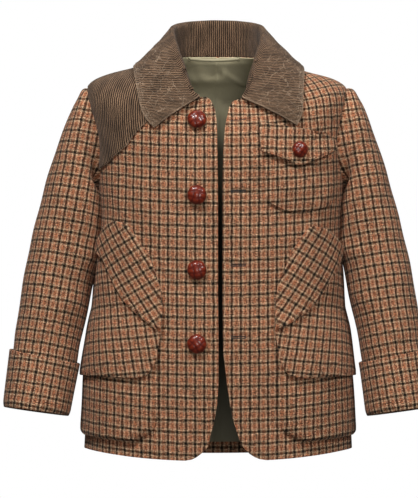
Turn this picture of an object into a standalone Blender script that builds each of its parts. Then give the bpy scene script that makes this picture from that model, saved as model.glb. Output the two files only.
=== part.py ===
# A small child's coat in checked tweed with a corduroy collar, filled out as if worn.
# X runs to the wearer's left, the fronts face -Y and Z is up.
# The origin is the middle of the neck opening, level with the neck ends of the shoulder seams.
# All sizes below are millimetres.

import math

import bmesh
import bpy
import numpy as np
from mathutils import Vector

MM = 0.001
MERGE_DISTANCE = 0.00001

# Cloth thickness
SHELL_WALL = 2.2
POCKET_WALL = 1.8
PATCH_WALL = 1.6
COLLAR_WALL = 2.4
CUFF_WALL = 2.4
LINING_WALL = 1.0

# Clearances
SEAM_HALF_GAP = 0.25
SLEEVE_SEAM_GAP = 0.7
LAYER_GAP = 1.0
LINING_GAP = 1.4

# Body rings from the hem to the neck. side_z, front_z and back_z are the ring's heights at the
# side seam, at the centre front and at the centre back; right and left are half widths.
TORSO_COLUMNS = ("side_z", "right", "left", "front", "back", "front_z", "back_z", "square")
TORSO = {
    "hem": (-460, 157, 158, 100, 98, -471, -473, 2.5),
    "pocket_foot": (-430, 155.5, 156.5, 101, 98, -440, -441, 2.5),
    "hip": (-368, 152.5, 153, 102, 98, -374, -374, 2.5),
    "pocket_top": (-316, 149, 149.5, 101, 97, -320, -320, 2.5),
    "waist": (-285, 146, 146.5, 99, 96, -288, -288, 2.5),
    "ribs": (-235, 142, 146, 97, 95, -237, -236, 2.55),
    "below_arm": (-190, 139, 147, 96, 94, -192, -189, 2.6),
    "underarm": (-158, 141, 149, 95, 93, -160, -154, 2.6),
    "chest": (-98, 146, 149.5, 92.5, 92, -116, -92, 2.6),
    "shoulder_tip": (-37, 151, 151, 86, 85, -85, -41, 2.5),
    "shoulder": (-16, 98, 98, 79, 73, -71, -16, 2.35),
    "neck": (0, 50, 50, 66, 52, -52, 2, 2.2),
}

# Armhole, from the underarm to the shoulder tip.
ARMHOLE_FRONT = 46
ARMHOLE_BACK = 42
ARMHOLE_FULLNESS = 0.85
ARMHOLE_STEPS = 9

# Front edges, as rows of (up from the hem, across from the centre front).
FRONT_EDGE_RIGHT = (
    (0, 38), (1.5, 30), (4, 25), (8, 19.5), (16, 11.5), (27, 9), (42, 4.5), (62, 1), (85, -0.6),
    (180, 0), (300, 0), (424, 1.2), (455, 1.8), (490, 3), (510, 5), (521, 7.5), (531, 13),
)
FRONT_EDGE_LEFT = (
    (0, 56), (1.5, 48), (4, 42), (8, 36), (16, 28.5), (27, 23.5), (42, 18.5), (62, 13.8), (85, 10.3),
    (120, 6), (180, 5), (300, 5), (370, 6), (416, 8), (478, 11), (505, 13), (521, 17), (531, 24),
)

# Rows and columns of the body panels' nets
ROUNDED_FOOT = 85
WAIST_ROWS = 8
NECK_ROWS = 4
NECK_CORNER = 9
BACK_FOOT_ROWS = (0, 16, 42, 62, 85)
FRONT_STEPS = 11
BACK_STEPS = 22

# Soft folds pressed up from the body: side, across, low, high, width, height.
FOLD_COLUMNS = ("side", "across", "low", "high", "width", "height")
FOLDS = {
    "left_chest": (1, 38, 275, 420, 12, 2.2),
    "right_chest": (-1, 92, 250, 345, 13, 1.8),
    "back_left": (1, 330, 40, 330, 22, 3.0),
    "back_right": (-1, 322, 60, 300, 20, 2.6),
    "back_low": (-1, 368, 10, 200, 16, 2.2),
}

# Sleeve sections below the armhole: the inner and outer ends of each section as seen from the
# front, its half depth and how far forward it sits.
SLEEVE_COLUMNS = ("inner_x", "inner_z", "outer_x", "outer_z", "half_depth", "forward")
SLEEVE_RIGHT = {
    "head": (143.5, -160, 166, -51, 50, 1),
    "cap": (143.8, -164, 182, -88, 51, 1),
    "upper": (143.5, -171, 196.5, -130, 51, 2),
    "biceps": (143, -188, 207, -168, 50, 3),
    "above_elbow": (144.5, -216, 216.2, -204, 48, 5),
    "elbow": (148.5, -251, 224, -239, 46.5, 9),
    "forearm": (153.5, -293, 231, -279, 45, 15),
    "above_cuff": (160.8, -335, 237, -321, 43.5, 22),
    "cuff_top": (166.5, -366, 240.8, -350, 42.5, 27),
    "cuff_foot": (176, -421, 248.5, -411, 42, 38),
}
SLEEVE_LEFT = {
    "head": (151.5, -160, 168, -52, 50, 1),
    "cap": (152, -164, 183, -88, 51, 1),
    "upper": (152.3, -171, 196.5, -129, 51, 2),
    "biceps": (152.5, -188, 206.5, -165, 50, 3),
    "above_elbow": (152.8, -216, 216.2, -203, 48, 5),
    "elbow": (154.2, -251, 224.4, -239, 46.5, 9),
    "forearm": (158.2, -291, 231.5, -278, 45, 15),
    "above_cuff": (164.9, -334, 237.2, -320, 43.5, 22),
    "cuff_top": (169.5, -365, 241.3, -349, 42.5, 27),
    "cuff_foot": (176, -421, 249, -411, 42, 38),
}
SLEEVE_STEPS = 16
SLEEVE_SQUARE = 0.9
SLEEVE_END = 0.02
CUFF_TOP_STEP = 8.86
CUFF_STEPS = 4
CUFF_FLARE = 1.2

# Soft folds across the sleeves: side, place along, angle from the underarm, length, width, height.
# Each one slopes by SLEEVE_FOLD_SLOPE of a ring for each degree.
SLEEVE_FOLD_SLOPE = 0.006
SLEEVE_FOLD_COLUMNS = ("side", "along", "angle", "spread", "width", "height")
SLEEVE_FOLDS = {
    "right_elbow": (-1, 5.6, 35, 50, 0.32, 2.4),
    "right_forearm": (-1, 7.0, 60, 45, 0.28, 1.8),
    "left_elbow": (1, 5.4, 40, 50, 0.32, 2.4),
    "left_forearm": (1, 6.9, 50, 45, 0.28, 1.8),
}

# Collar sections from its front end to the centre back: place along the neck seam, height of the
# stand, its lean outward, roll radius and the outer edge of the fall.
COLLAR_COLUMNS = ("seam", "stand", "lean", "roll", "edge_x", "edge_y", "edge_z")
COLLAR_RIGHT = {
    "end": (0.0, 5.0, 2.0, 4.0, 76, -78, -85),
    "point": (0.10, 9.0, 2.5, 4.0, 83, -74, -77),
    "front": (0.22, 16.0, 2.0, 4.2, 91, -62, -58),
    "front_side": (0.35, 24.0, 1.0, 4.5, 96, -38, -30),
    "shoulder": (0.52, 33.0, 0.0, 4.8, 97, -4, -5),
    "back_side": (0.70, 40.0, 0.0, 5.0, 80, 42, -3),
    "back_quarter": (0.85, 43.0, 0.5, 5.0, 47, 66, -8),
    "back": (1.0, 44.0, 1.0, 5.0, 0, 74, -11),
}
COLLAR_LEFT = {
    "end": (0.0, 5.0, 2.0, 4.0, 90, -74, -84),
    "point": (0.10, 9.0, 2.5, 4.0, 95, -66, -71),
    "front": (0.22, 16.0, 2.0, 4.2, 98, -54, -50),
    "front_side": (0.35, 24.0, 1.0, 4.5, 99, -32, -27),
    "shoulder": (0.52, 33.0, 0.0, 4.8, 96, -4, -5),
    "back_side": (0.70, 40.0, 0.0, 5.0, 80, 42, -3),
    "back_quarter": (0.85, 43.0, 0.5, 5.0, 47, 66, -8),
    "back": (1.0, 44.0, 1.0, 5.0, 0, 74, -11),
}
COLLAR_END_RIGHT = 22
COLLAR_END_LEFT = 29
COLLAR_STEPS = 15
COLLAR_LIFT = 5.8

# Buttons. Their places are distances across from the centre front and up from the hem.
BUTTON_RADIUS = 11.5
BUTTON_HEIGHT = 8.5
BUTTON_ACROSS = 24.2
BUTTON_UPS = (444.5, 297.4, 211.4, 128.5)
BUTTON_LIFT = 0.8
CHEST_BUTTON_RADIUS = 9.8
CHEST_BUTTON_ACROSS = 93.4
CHEST_BUTTON_UP = 359
BUTTON_PROFILE = ((0, 1), (0.42, 0.93), (0.76, 0.74), (0.97, 0.42), (0.94, 0.22), (0.6, 0), (0, 0))
BUTTON_STEPS = 12

# Pieces laid on the body. Each row runs across the cloth from its start to its end:
# (start_across, start_up, end_across, end_up).
POCKET_BAG = (
    (104, 17.6, 150, 15),
    (92, 20.5, 185, 16.5),
    (80, 28, 209, 20),
    (74.2, 34.1, 219, 25),
    (70.2, 47.4, 223, 37),
    (68.3, 65, 224, 58),
    (67.7, 98.8, 223, 92),
    (67.4, 138, 220, 136),
)
POCKET_FLAP = (
    (96, 88, 222, 84),
    (87, 89.8, 225, 86),
    (80, 93, 226.5, 90),
    (75.4, 97.4, 227, 96),
    (70, 110, 226, 112),
    (66.6, 133.4, 221, 136),
    (64.8, 144, 205, 147),
    (68, 162, 196, 165),
    (88, 182, 192, 186),
    (108, 205, 186, 206),
    (124, 224, 175, 222),
    (142, 237, 160, 236),
)
BAND_RIGHT = (
    (121, 266, 135.4, 263),
    (108, 264, 153, 247),
    (99.5, 257.8, 167, 233),
    (94.3, 247.4, 152, 226),
    (88, 240, 141.8, 220.5),
    (79.3, 228, 131.6, 206.3),
    (72, 208.8, 120, 187.2),
    (66, 192, 110, 175),
    (63.2, 172, 97, 163),
    (63.4, 158, 83, 153),
    (64.8, 146, 71, 144.5),
)
BAND_LEFT = (
    (111, 261, 130, 257),
    (103, 258, 146, 246),
    (95, 247, 168, 233),
    (91, 241, 160, 223),
    (87, 236, 150, 211.7),
    (81, 223, 141, 203),
    (75, 209, 132, 193),
    (68, 194, 119, 178),
    (66, 178, 104, 163),
    (65, 162, 86, 152),
    (65, 147, 71, 144.5),
)
CHEST_POCKET = (
    (86, 277, 101, 277),
    (72, 281, 121, 280.5),
    (58, 288, 139, 285),
    (54.5, 294, 143.5, 291),
    (53.8, 300, 146, 300),
    (53.6, 325, 147.5, 318),
    (53.6, 348, 143.5, 349),
    (54, 366, 142.5, 364),
)
CHEST_FLAP = (
    (90, 337, 99, 337),
    (70, 350, 120, 344),
    (50.5, 361, 144.5, 352),
    (49.5, 366, 145.5, 357),
    (48, 384, 143.5, 364),
    (47.4, 404, 136, 371),
    (47.4, 424, 118, 379),
)

# How far the hip pocket's bag and flap stand off the front, as rows of (up, height).
BAG_STAND_OFF = ((15, 2.9), (90, 2.9), (140, 0.6))
FLAP_STAND_OFF = ((84, 6.0), (110, 5.4), (140, 3.0), (165, 0.0))
BAG_EDGE = 0.13
CHEST_POCKET_STAND_OFF = 1.2
CHEST_POCKET_DISH = 0.7

# Rows and columns of those pieces' nets
BAG_NET = (11, 12)
FLAP_NET = (11, 11)
BAND_NET = (10, 5)
CHEST_POCKET_NET = (7, 8)
CHEST_FLAP_NET = (10, 8)

# Shoulder patch: its lower edge, from the armhole to under the collar, as rows of (up, across).
PATCH_EDGE = (
    (328, 151), (334, 138), (349.5, 121), (361, 108.7), (382, 98.3), (401.7, 87.3), (419, 79.8),
    (452, 69), (518, 52),
)
PATCH_INSET = 1.6
PATCH_GAP = 1.1
PATCH_STEPS = 6

# Lining of the back and the hanging loop at the neck.
LINING_LOW = 13
LINING_INSET = 3
LINING_NECK_GAP = 2
LINING_LOW_ROWS = 7
LINING_TOP_ROWS = 4
LINING_STEPS = 14
LOOP_STEPS = 8
LOOP_SPAN = (-37, 24)
LOOP_LOW = -4
LOOP_HEIGHT = 6
LOOP_WALL = 1.2
LOOP_DEPTH = 5.0
LOOP_BOW = 2.5

COLLAR_SEAM_GAP = 1.4
COLLAR_LEAN_LOW = 0.3
COLLAR_TURNED = 4
COLLAR_PLACES = (0, 0.7, 1.4, 2.0, 2.5, 3.0, 3.5, 4.0, 4.5, 5.0, 5.5, 6.0)

RING_STEPS = 90
DROP_POWER = 2.4
NORMAL_STEP = 1.0
RING_STEP = 0.05
FIELD_ROWS = 60
FIELD_SPACING = 4


def smooth(places, values, place):
    """Cubic curve through a table's column."""
    places = np.asarray(places, dtype=float)
    values = np.asarray(values, dtype=float)
    slopes = np.gradient(values, places, axis=0)
    i = int(np.clip(np.searchsorted(places, place) - 1, 0, len(places) - 2))
    width = places[i + 1] - places[i]
    t = (place - places[i]) / width
    start = (1 + 2 * t) * (1 - t) ** 2 * values[i] + t * (1 - t) ** 2 * width * slopes[i]
    end = t * t * (3 - 2 * t) * values[i + 1] + t * t * (t - 1) * width * slopes[i + 1]
    return start + end


def straight(table, place):
    """Straight lines through rows of (place, value)."""
    places = [row[0] for row in table]
    values = [row[1] for row in table]
    return float(np.interp(place, places, values))


torso_values = np.array(list(TORSO.values()), dtype=float)
side_line = np.column_stack((torso_values[:, 1:3].mean(axis=1), torso_values[:, 0]))
torso_up = np.concatenate(([0.0], np.cumsum(np.linalg.norm(np.diff(side_line, axis=0), axis=1))))
torso_names = list(TORSO)
UP_UNDERARM = torso_up[torso_names.index("underarm")]
UP_TIP = torso_up[torso_names.index("shoulder_tip")]
UP_NECK = torso_up[-1]
ring_store = {}


def half_ring(side, up):
    """Points of half a body ring, from centre front to centre back, and their distance across."""
    key = (side, round(up, 4))
    if key not in ring_store:
        row = dict(zip(TORSO_COLUMNS, smooth(torso_up, torso_values, up)))
        angle = np.linspace(0, math.pi, 2 * RING_STEPS + 1)
        power = 2 / row["square"]
        fore = angle <= math.pi / 2
        sine = np.abs(np.sin(angle))
        cosine = np.abs(np.cos(angle))
        half_width = row["left"] if side > 0 else row["right"]
        x = side * half_width * sine ** power
        y = np.where(fore, -row["front"], row["back"]) * cosine ** power
        drop = np.where(fore, row["front_z"], row["back_z"]) - row["side_z"]
        z = row["side_z"] + drop * cosine ** DROP_POWER
        points = np.column_stack((x, y, z))
        steps = np.linalg.norm(np.diff(points, axis=0), axis=1)
        ring_store[key] = (points, np.concatenate(([0.0], np.cumsum(steps))))
    return ring_store[key]


def side_across(side, up):
    return half_ring(side, up)[1][RING_STEPS]


def back_across(side, up):
    return half_ring(side, up)[1][-1]


def bare_point(side, across, up):
    if across < 0:
        side, across = -side, -across
    whole = back_across(side, up)
    if across > whole:
        across = 2 * whole - across
        side = -side
        across = back_across(side, up) - (whole - across)
    points, lengths = half_ring(side, up)
    return np.array([np.interp(across, lengths, points[:, axis]) for axis in range(3)])


def bare_normal(side, across, up):
    low = max(up - NORMAL_STEP, 0.0)
    high = min(up + NORMAL_STEP, UP_NECK)
    along = bare_point(side, across + NORMAL_STEP, up) - bare_point(side, across - NORMAL_STEP, up)
    rise = bare_point(side, across, high) - bare_point(side, across, low)
    normal = side * np.cross(along, rise)
    return normal / np.linalg.norm(normal)


def fold_height(side, across, up):
    height = 0.0
    for row in FOLDS.values():
        fold = dict(zip(FOLD_COLUMNS, row))
        if fold["side"] == side and fold["low"] < up < fold["high"]:
            reach = math.sin(math.pi * (up - fold["low"]) / (fold["high"] - fold["low"])) ** 2
            offset = (across - fold["across"]) / fold["width"]
            height += fold["height"] * reach * math.exp(-offset * offset)
    return height


def on_body(side, across, up, lift=0.0, folds=True):
    """Point on the outside of the body cloth, moved out by lift."""
    up = min(max(up, 0.0), UP_NECK)
    point = bare_point(side, across, up)
    if folds:
        lift = lift + fold_height(side, across, up)
    return point + bare_normal(side, across, up) * lift


def armhole_across(side, up, back=False):
    """Where the armhole crosses the ring at this height."""
    middle = (UP_UNDERARM + UP_TIP) / 2
    half = (UP_TIP - UP_UNDERARM) / 2
    place = min(abs(up - middle) / half, 1.0)
    reach = (1 - place * place) ** (ARMHOLE_FULLNESS / 2)
    edge = side_across(side, up)
    return edge + ARMHOLE_BACK * reach if back else edge - ARMHOLE_FRONT * reach


arm_rows = [
    (UP_UNDERARM + UP_TIP) / 2 - (UP_TIP - UP_UNDERARM) / 2 * math.cos(math.pi * k / ARMHOLE_STEPS)
    for k in range(ARMHOLE_STEPS + 1)
]


def front_outer(side, up):
    if UP_UNDERARM < up < UP_TIP:
        return min(armhole_across(side, up), side_across(side, up) - SEAM_HALF_GAP)
    return side_across(side, up) - SEAM_HALF_GAP


def back_outer(side, up):
    if UP_UNDERARM < up < UP_TIP:
        return max(armhole_across(side, up, True), side_across(side, up) + SEAM_HALF_GAP)
    return side_across(side, up) + SEAM_HALF_GAP


# Scene setup
for old in list(bpy.data.objects):
    bpy.data.objects.remove(old, do_unlink=True)
coat = bpy.data.collections.new("tartan_coat")
bpy.context.scene.collection.children.link(coat)

TWEED = ("tweed", (0.42, 0.28, 0.17), 0.95)
CORDUROY = ("corduroy", (0.13, 0.08, 0.06), 0.9)
LINING = ("lining", (0.25, 0.22, 0.11), 0.6)
LEATHER = ("leather", (0.2, 0.05, 0.02), 0.35)


def make_material(name, finish):
    kind, colour, roughness = finish
    material = bpy.data.materials.new(name + "_" + kind)
    material.use_nodes = True
    shader = material.node_tree.nodes["Principled BSDF"]
    shader.inputs["Base Color"].default_value = (*colour, 1)
    shader.inputs["Roughness"].default_value = roughness
    shader.inputs["Metallic"].default_value = 0
    return material


def make_sheet(name, points, wall, finish, closed=False, flip=False, outward=False):
    """Open sheet through a net of points, given its wall by Solidify."""
    rows, columns = len(points), len(points[0])
    mesh = bpy.data.meshes.new(name)
    net = bmesh.new()
    bmesh.ops.create_grid(net, x_segments=columns - 1, y_segments=rows - 1, size=0.5)
    net.verts.ensure_lookup_table()
    for vert in net.verts:
        column = round((vert.co.x + 0.5) * (columns - 1))
        row = round((vert.co.y + 0.5) * (rows - 1))
        vert.co = [value * MM for value in points[row][column]]
    if closed:
        bmesh.ops.remove_doubles(net, verts=net.verts, dist=MERGE_DISTANCE)
    if flip:
        bmesh.ops.reverse_faces(net, faces=net.faces)
    net.to_mesh(mesh)
    net.free()
    mesh.shade_smooth()
    piece = bpy.data.objects.new(name, mesh)
    piece.data.materials.append(make_material(name, finish))
    coat.objects.link(piece)
    solidify = piece.modifiers.new("wall", "SOLIDIFY")
    solidify.thickness = wall * MM
    solidify.offset = 1 if outward else -1
    return piece


def body_net(side, rows, columns, start, end, lift=None):
    """Net of points on the body between two across limits at each height."""
    net = []
    for up in rows:
        first, last = start(up), end(up)
        line = []
        for k in range(columns + 1):
            share = k / columns
            across = first + (last - first) * share
            height = lift(share, up) if lift else 0.0
            line.append(on_body(side, across, up, height))
        net.append(line)
    return net


def patch_net(side, rows, row_steps, columns, lift):
    """Net of points between the starts and ends of a piece's rows."""
    net = []
    table = np.array(rows, dtype=float)
    places = np.arange(len(table), dtype=float)
    for j in range(row_steps + 1):
        place = places[-1] * j / row_steps
        row = [np.interp(place, places, table[:, k]) for k in range(4)]
        line = []
        for k in range(columns + 1):
            share = k / columns
            across = row[0] + (row[2] - row[0]) * share
            up = row[1] + (row[3] - row[1]) * share
            line.append(on_body(side, across, up, lift(share, j / row_steps, up)))
        net.append(line)
    return net


# Body panels
foot_rows = [row[0] for row in FRONT_EDGE_RIGHT if row[0] <= ROUNDED_FOOT]
waist_rows = list(np.linspace(ROUNDED_FOOT, UP_UNDERARM, WAIST_ROWS + 1)[1:])
top_rows = list(np.linspace(UP_TIP, UP_NECK - NECK_CORNER, NECK_ROWS + 1)[1:]) + [UP_NECK]
front_rows = foot_rows + waist_rows + arm_rows[1:] + top_rows
back_rows = list(BACK_FOOT_ROWS) + waist_rows + arm_rows[1:] + top_rows

front_right_net = body_net(
    -1, front_rows, FRONT_STEPS,
    lambda up: straight(FRONT_EDGE_RIGHT, up), lambda up: front_outer(-1, up),
)
make_sheet("front_right", front_right_net, SHELL_WALL, TWEED, flip=True)
front_left_net = body_net(
    1, front_rows, FRONT_STEPS,
    lambda up: straight(FRONT_EDGE_LEFT, up), lambda up: front_outer(1, up),
)
make_sheet("front_left", front_left_net, SHELL_WALL, TWEED)

back_net = []
for up in back_rows:
    line = []
    for k in range(BACK_STEPS + 1):
        share = 2 * k / BACK_STEPS - 1
        side = 1 if share >= 0 else -1
        centre = back_across(side, up)
        across = centre + (back_outer(side, up) - centre) * abs(share)
        line.append(on_body(side, across, up))
    back_net.append(line)
make_sheet("back", back_net, SHELL_WALL, TWEED, flip=True)


# Sleeves
def sleeve_rings(side):
    """Control rings of a sleeve, from the armhole down to the cuff's foot."""
    count = 2 * ARMHOLE_STEPS
    root = []
    for k in range(count):
        back = k > ARMHOLE_STEPS
        step = count - k if back else k
        up = arm_rows[step]
        edge = armhole_across(side, up, back) if 0 < step < ARMHOLE_STEPS else side_across(side, up)
        point = on_body(side, edge, up)
        root.append(point + np.array((side * SLEEVE_SEAM_GAP, 0, 0)))
    rings = [root]
    table = SLEEVE_LEFT if side > 0 else SLEEVE_RIGHT
    for values in table.values():
        row = dict(zip(SLEEVE_COLUMNS, values))
        inner = np.array((side * row["inner_x"], -row["forward"], row["inner_z"]))
        outer = np.array((side * row["outer_x"], -row["forward"], row["outer_z"]))
        centre, arm = (inner + outer) / 2, (inner - outer) / 2
        ring = []
        for k in range(count):
            angle = 2 * math.pi * k / count
            cosine, sine = math.cos(angle), math.sin(angle)
            wide = math.copysign(abs(cosine) ** SLEEVE_SQUARE, cosine)
            deep = math.copysign(abs(sine) ** SLEEVE_SQUARE, sine)
            ring.append(centre + arm * wide + np.array((0, -row["half_depth"] * deep, 0)))
        rings.append(ring)
    return np.array(rings)


def sleeve_fold(side, along, angle):
    height = 0.0
    for row in SLEEVE_FOLDS.values():
        fold = dict(zip(SLEEVE_FOLD_COLUMNS, row))
        turn = (angle - fold["angle"] + 180) % 360 - 180
        if fold["side"] == side and abs(turn) < fold["spread"]:
            reach = math.cos(math.pi / 2 * turn / fold["spread"]) ** 2
            offset = (along - fold["along"] - SLEEVE_FOLD_SLOPE * turn) / fold["width"]
            height += fold["height"] * reach * math.exp(-offset * offset)
    return height


def sleeve_ring(side, rings, along, lift=0.0, folds=True):
    ring = smooth(np.arange(len(rings)), rings, along)
    ahead = np.roll(ring, -1, axis=0) - np.roll(ring, 1, axis=0)
    down = smooth(np.arange(len(rings)), rings, min(along + RING_STEP, len(rings) - 1))
    down = down - smooth(np.arange(len(rings)), rings, max(along - RING_STEP, 0))
    normal = np.cross(ahead, down) * side
    normal = normal / np.linalg.norm(normal, axis=1)[:, None]
    centre = ring.mean(axis=0)
    facing = np.sign(((ring - centre) * normal).sum(axis=1).mean())
    heights = np.full(len(ring), lift)
    if folds:
        turns = 360 * np.arange(len(ring)) / len(ring)
        heights = heights + np.array([sleeve_fold(side, along, turn) for turn in turns])
    ring = ring + facing * normal * heights[:, None]
    return [*ring, ring[0]]


for side, label in ((-1, "right"), (1, "left")):
    rings = sleeve_rings(side)
    last = len(rings) - 1
    sleeve_net = [
        sleeve_ring(side, rings, (last - SLEEVE_END) * k / SLEEVE_STEPS) for k in range(SLEEVE_STEPS + 1)
    ]
    make_sheet("sleeve_" + label, sleeve_net, SHELL_WALL, TWEED, closed=True, flip=side > 0)
    cuff_net = []
    for k in range(CUFF_STEPS + 1):
        share = k / CUFF_STEPS
        along = CUFF_TOP_STEP + (last - CUFF_TOP_STEP) * share
        lift = LAYER_GAP + CUFF_WALL + CUFF_FLARE * (1 - share)
        cuff_net.append(sleeve_ring(side, rings, along, lift, False))
    make_sheet("cuff_" + label, cuff_net, CUFF_WALL, TWEED, closed=True, flip=side > 0)


# Collar
def cloth_field():
    """Points and facings over the upper body, for keeping the collar clear of it."""
    places, facings = [], []
    for side in (-1, 1):
        for up in np.linspace(UP_UNDERARM, UP_NECK, FIELD_ROWS):
            for across in np.arange(2, back_across(side, up), FIELD_SPACING):
                places.append(bare_point(side, across, up))
                facings.append(bare_normal(side, across, up))
    return np.array(places), np.array(facings)


field_points, field_normals = cloth_field()


def hold_clear(point, lift, exact=False):
    """Move a point out until it is at least lift from the body."""
    nearest = int(np.argmin(((field_points - point) ** 2).sum(axis=1)))
    height = float((point - field_points[nearest]) @ field_normals[nearest])
    if height < lift or exact:
        return point + field_normals[nearest] * (lift - height)
    return point


def collar_section(side, seam):
    """Section of the collar from its neck seam over the roll to the outer edge."""
    table = COLLAR_LEFT if side > 0 else COLLAR_RIGHT
    values = np.array(list(table.values()), dtype=float)
    row = dict(zip(COLLAR_COLUMNS, smooth(values[:, 0], values, seam)))
    first = COLLAR_END_LEFT if side > 0 else COLLAR_END_RIGHT
    whole = back_across(side, UP_NECK)
    across = first + (whole - first) * seam
    foot = bare_point(side, across, UP_NECK) + np.array((0, 0, COLLAR_SEAM_GAP))
    along = bare_point(side, across + 1, UP_NECK) - bare_point(side, across - 1, UP_NECK)
    out = np.array((along[1], -along[0], 0.0))
    out = out / np.linalg.norm(out)
    if out[:2] @ foot[:2] < 0:
        out = -out
    upward = np.array((0, 0, 1.0))
    roll = row["roll"]
    rise = row["stand"] - roll
    top = foot + out * row["lean"] + upward * rise
    edge = np.array((side * row["edge_x"], row["edge_y"], row["edge_z"]))
    edge = hold_clear(edge, COLLAR_LIFT, True)
    turned = top + out * 2 * roll
    middle = hold_clear((turned + edge) / 2, COLLAR_LIFT)
    controls = np.array((
        foot,
        foot + out * row["lean"] * COLLAR_LEAN_LOW + upward * rise / 2,
        top,
        top + (out + upward) * roll,
        turned,
        middle,
        edge,
    ))
    line = []
    for place in COLLAR_PLACES:
        point = smooth(np.arange(len(controls)), controls, place)
        line.append(hold_clear(point, COLLAR_LIFT) if place > COLLAR_TURNED else point)
    return line


collar_net = [collar_section(-1, k / COLLAR_STEPS) for k in range(COLLAR_STEPS)]
collar_net += [collar_section(1, k / COLLAR_STEPS) for k in range(COLLAR_STEPS, -1, -1)]
make_sheet("collar", collar_net, COLLAR_WALL, CORDUROY, flip=True)


# Pieces laid on the fronts
def laid_on(name, side, rows, steps, lift):
    net = patch_net(side, rows, *steps, lift)
    return make_sheet(name, net, POCKET_WALL, TWEED, flip=side < 0)


def bag_lift(share, rise, up):
    inset = min(share, 1 - share, rise) / BAG_EDGE
    dish = math.sin(math.pi / 2 * min(inset, 1.0))
    return LAYER_GAP + POCKET_WALL + straight(BAG_STAND_OFF, up) * dish


def flap_lift(share, rise, up):
    return LAYER_GAP + POCKET_WALL + straight(FLAP_STAND_OFF, up)


def band_lift(share, rise, up):
    return flap_lift(share, rise, up) + LAYER_GAP + POCKET_WALL


def chest_lift(share, rise, up):
    dish = math.sin(math.pi * share) * math.sin(math.pi * min(rise / CHEST_POCKET_DISH, 1))
    return LAYER_GAP + POCKET_WALL + CHEST_POCKET_STAND_OFF * dish


def chest_flap_lift(share, rise, up):
    return 2 * (LAYER_GAP + POCKET_WALL)


for side, label, band in ((-1, "right", BAND_RIGHT), (1, "left", BAND_LEFT)):
    laid_on("pocket_bag_" + label, side, POCKET_BAG, BAG_NET, bag_lift)
    laid_on("pocket_flap_" + label, side, POCKET_FLAP, FLAP_NET, flap_lift)
    laid_on("hand_warmer_band_" + label, side, band, BAND_NET, band_lift)
laid_on("chest_pocket", 1, CHEST_POCKET, CHEST_POCKET_NET, chest_lift)
laid_on("chest_flap", 1, CHEST_FLAP, CHEST_FLAP_NET, chest_flap_lift)

patch_low, patch_high = PATCH_EDGE[0][0], PATCH_EDGE[-1][0]
panel_rows = [up for up in front_rows if patch_low < up < patch_high]
patch_rows = [patch_low, *panel_rows, patch_high]
patch_rows += [(low + high) / 2 for low, high in zip(patch_rows, patch_rows[1:])]
patch_rows.sort()
patch_sheet = body_net(
    -1, patch_rows, PATCH_STEPS,
    lambda up: straight(PATCH_EDGE, up), lambda up: front_outer(-1, up) - PATCH_INSET,
    lambda share, up: PATCH_GAP + PATCH_WALL,
)
make_sheet("shoulder_patch", patch_sheet, PATCH_WALL, CORDUROY, flip=True)

# Lining of the back
lining_rows = list(np.linspace(LINING_LOW, UP_UNDERARM, LINING_LOW_ROWS)) + arm_rows[2:-1:2]
lining_rows += list(np.linspace(UP_TIP, UP_NECK - LINING_NECK_GAP, LINING_TOP_ROWS))
lining_net = []
for up in lining_rows:
    line = []
    for k in range(LINING_STEPS + 1):
        share = 2 * k / LINING_STEPS - 1
        side = 1 if share >= 0 else -1
        centre = back_across(side, up)
        across = centre + (back_outer(side, up) + LINING_INSET - centre) * abs(share)
        line.append(on_body(side, across, up, -SHELL_WALL - LINING_GAP, False))
    lining_net.append(line)
make_sheet("back_lining", lining_net, LINING_WALL, LINING, flip=True)

# Hanging loop
loop_net = []
for height in (LOOP_LOW, LOOP_LOW + LOOP_HEIGHT / 2, LOOP_LOW + LOOP_HEIGHT):
    line = []
    for k in range(LOOP_STEPS + 1):
        share = k / LOOP_STEPS
        x = LOOP_SPAN[0] + (LOOP_SPAN[1] - LOOP_SPAN[0]) * share
        side = 1 if x >= 0 else -1
        wall = bare_point(side, back_across(side, UP_NECK) - abs(x), UP_NECK)
        bow = LOOP_BOW * math.sin(math.pi * share)
        line.append(np.array((wall[0], wall[1] - LOOP_DEPTH - bow, height)))
    loop_net.append(line)
make_sheet("hanger_loop", loop_net, LOOP_WALL, LINING)


# Buttons
def make_button(name, side, across, up, lift, radius, height):
    mesh = bpy.data.meshes.new(name)
    profile = bmesh.new()
    points = [profile.verts.new((x * radius * MM, 0, z * height * MM)) for x, z in BUTTON_PROFILE]
    for first, second in zip(points, points[1:]):
        profile.edges.new((first, second))
    profile.to_mesh(mesh)
    profile.free()
    button = bpy.data.objects.new(name, mesh)
    button.data.materials.append(make_material(name, LEATHER))
    coat.objects.link(button)
    screw = button.modifiers.new("turn", "SCREW")
    screw.steps = BUTTON_STEPS
    screw.render_steps = BUTTON_STEPS
    screw.use_merge_vertices = True
    screw.merge_threshold = MERGE_DISTANCE
    screw.use_smooth_shade = True
    normal = bare_normal(side, across, up)
    button.location = on_body(side, across, up, lift) * MM
    button.rotation_mode = "QUATERNION"
    button.rotation_quaternion = Vector((0, 0, 1)).rotation_difference(Vector(normal))


for number, up in enumerate(BUTTON_UPS, 1):
    make_button(
        "button_" + str(number), -1, BUTTON_ACROSS, up, BUTTON_LIFT, BUTTON_RADIUS, BUTTON_HEIGHT
    )
make_button(
    "chest_button", 1, CHEST_BUTTON_ACROSS, CHEST_BUTTON_UP,
    2 * (LAYER_GAP + POCKET_WALL) + BUTTON_LIFT, CHEST_BUTTON_RADIUS, BUTTON_HEIGHT,
)
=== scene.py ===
import math
from functools import partial

import bmesh
import bpy
import numpy as np
from mathutils import Matrix, Vector, kdtree


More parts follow.
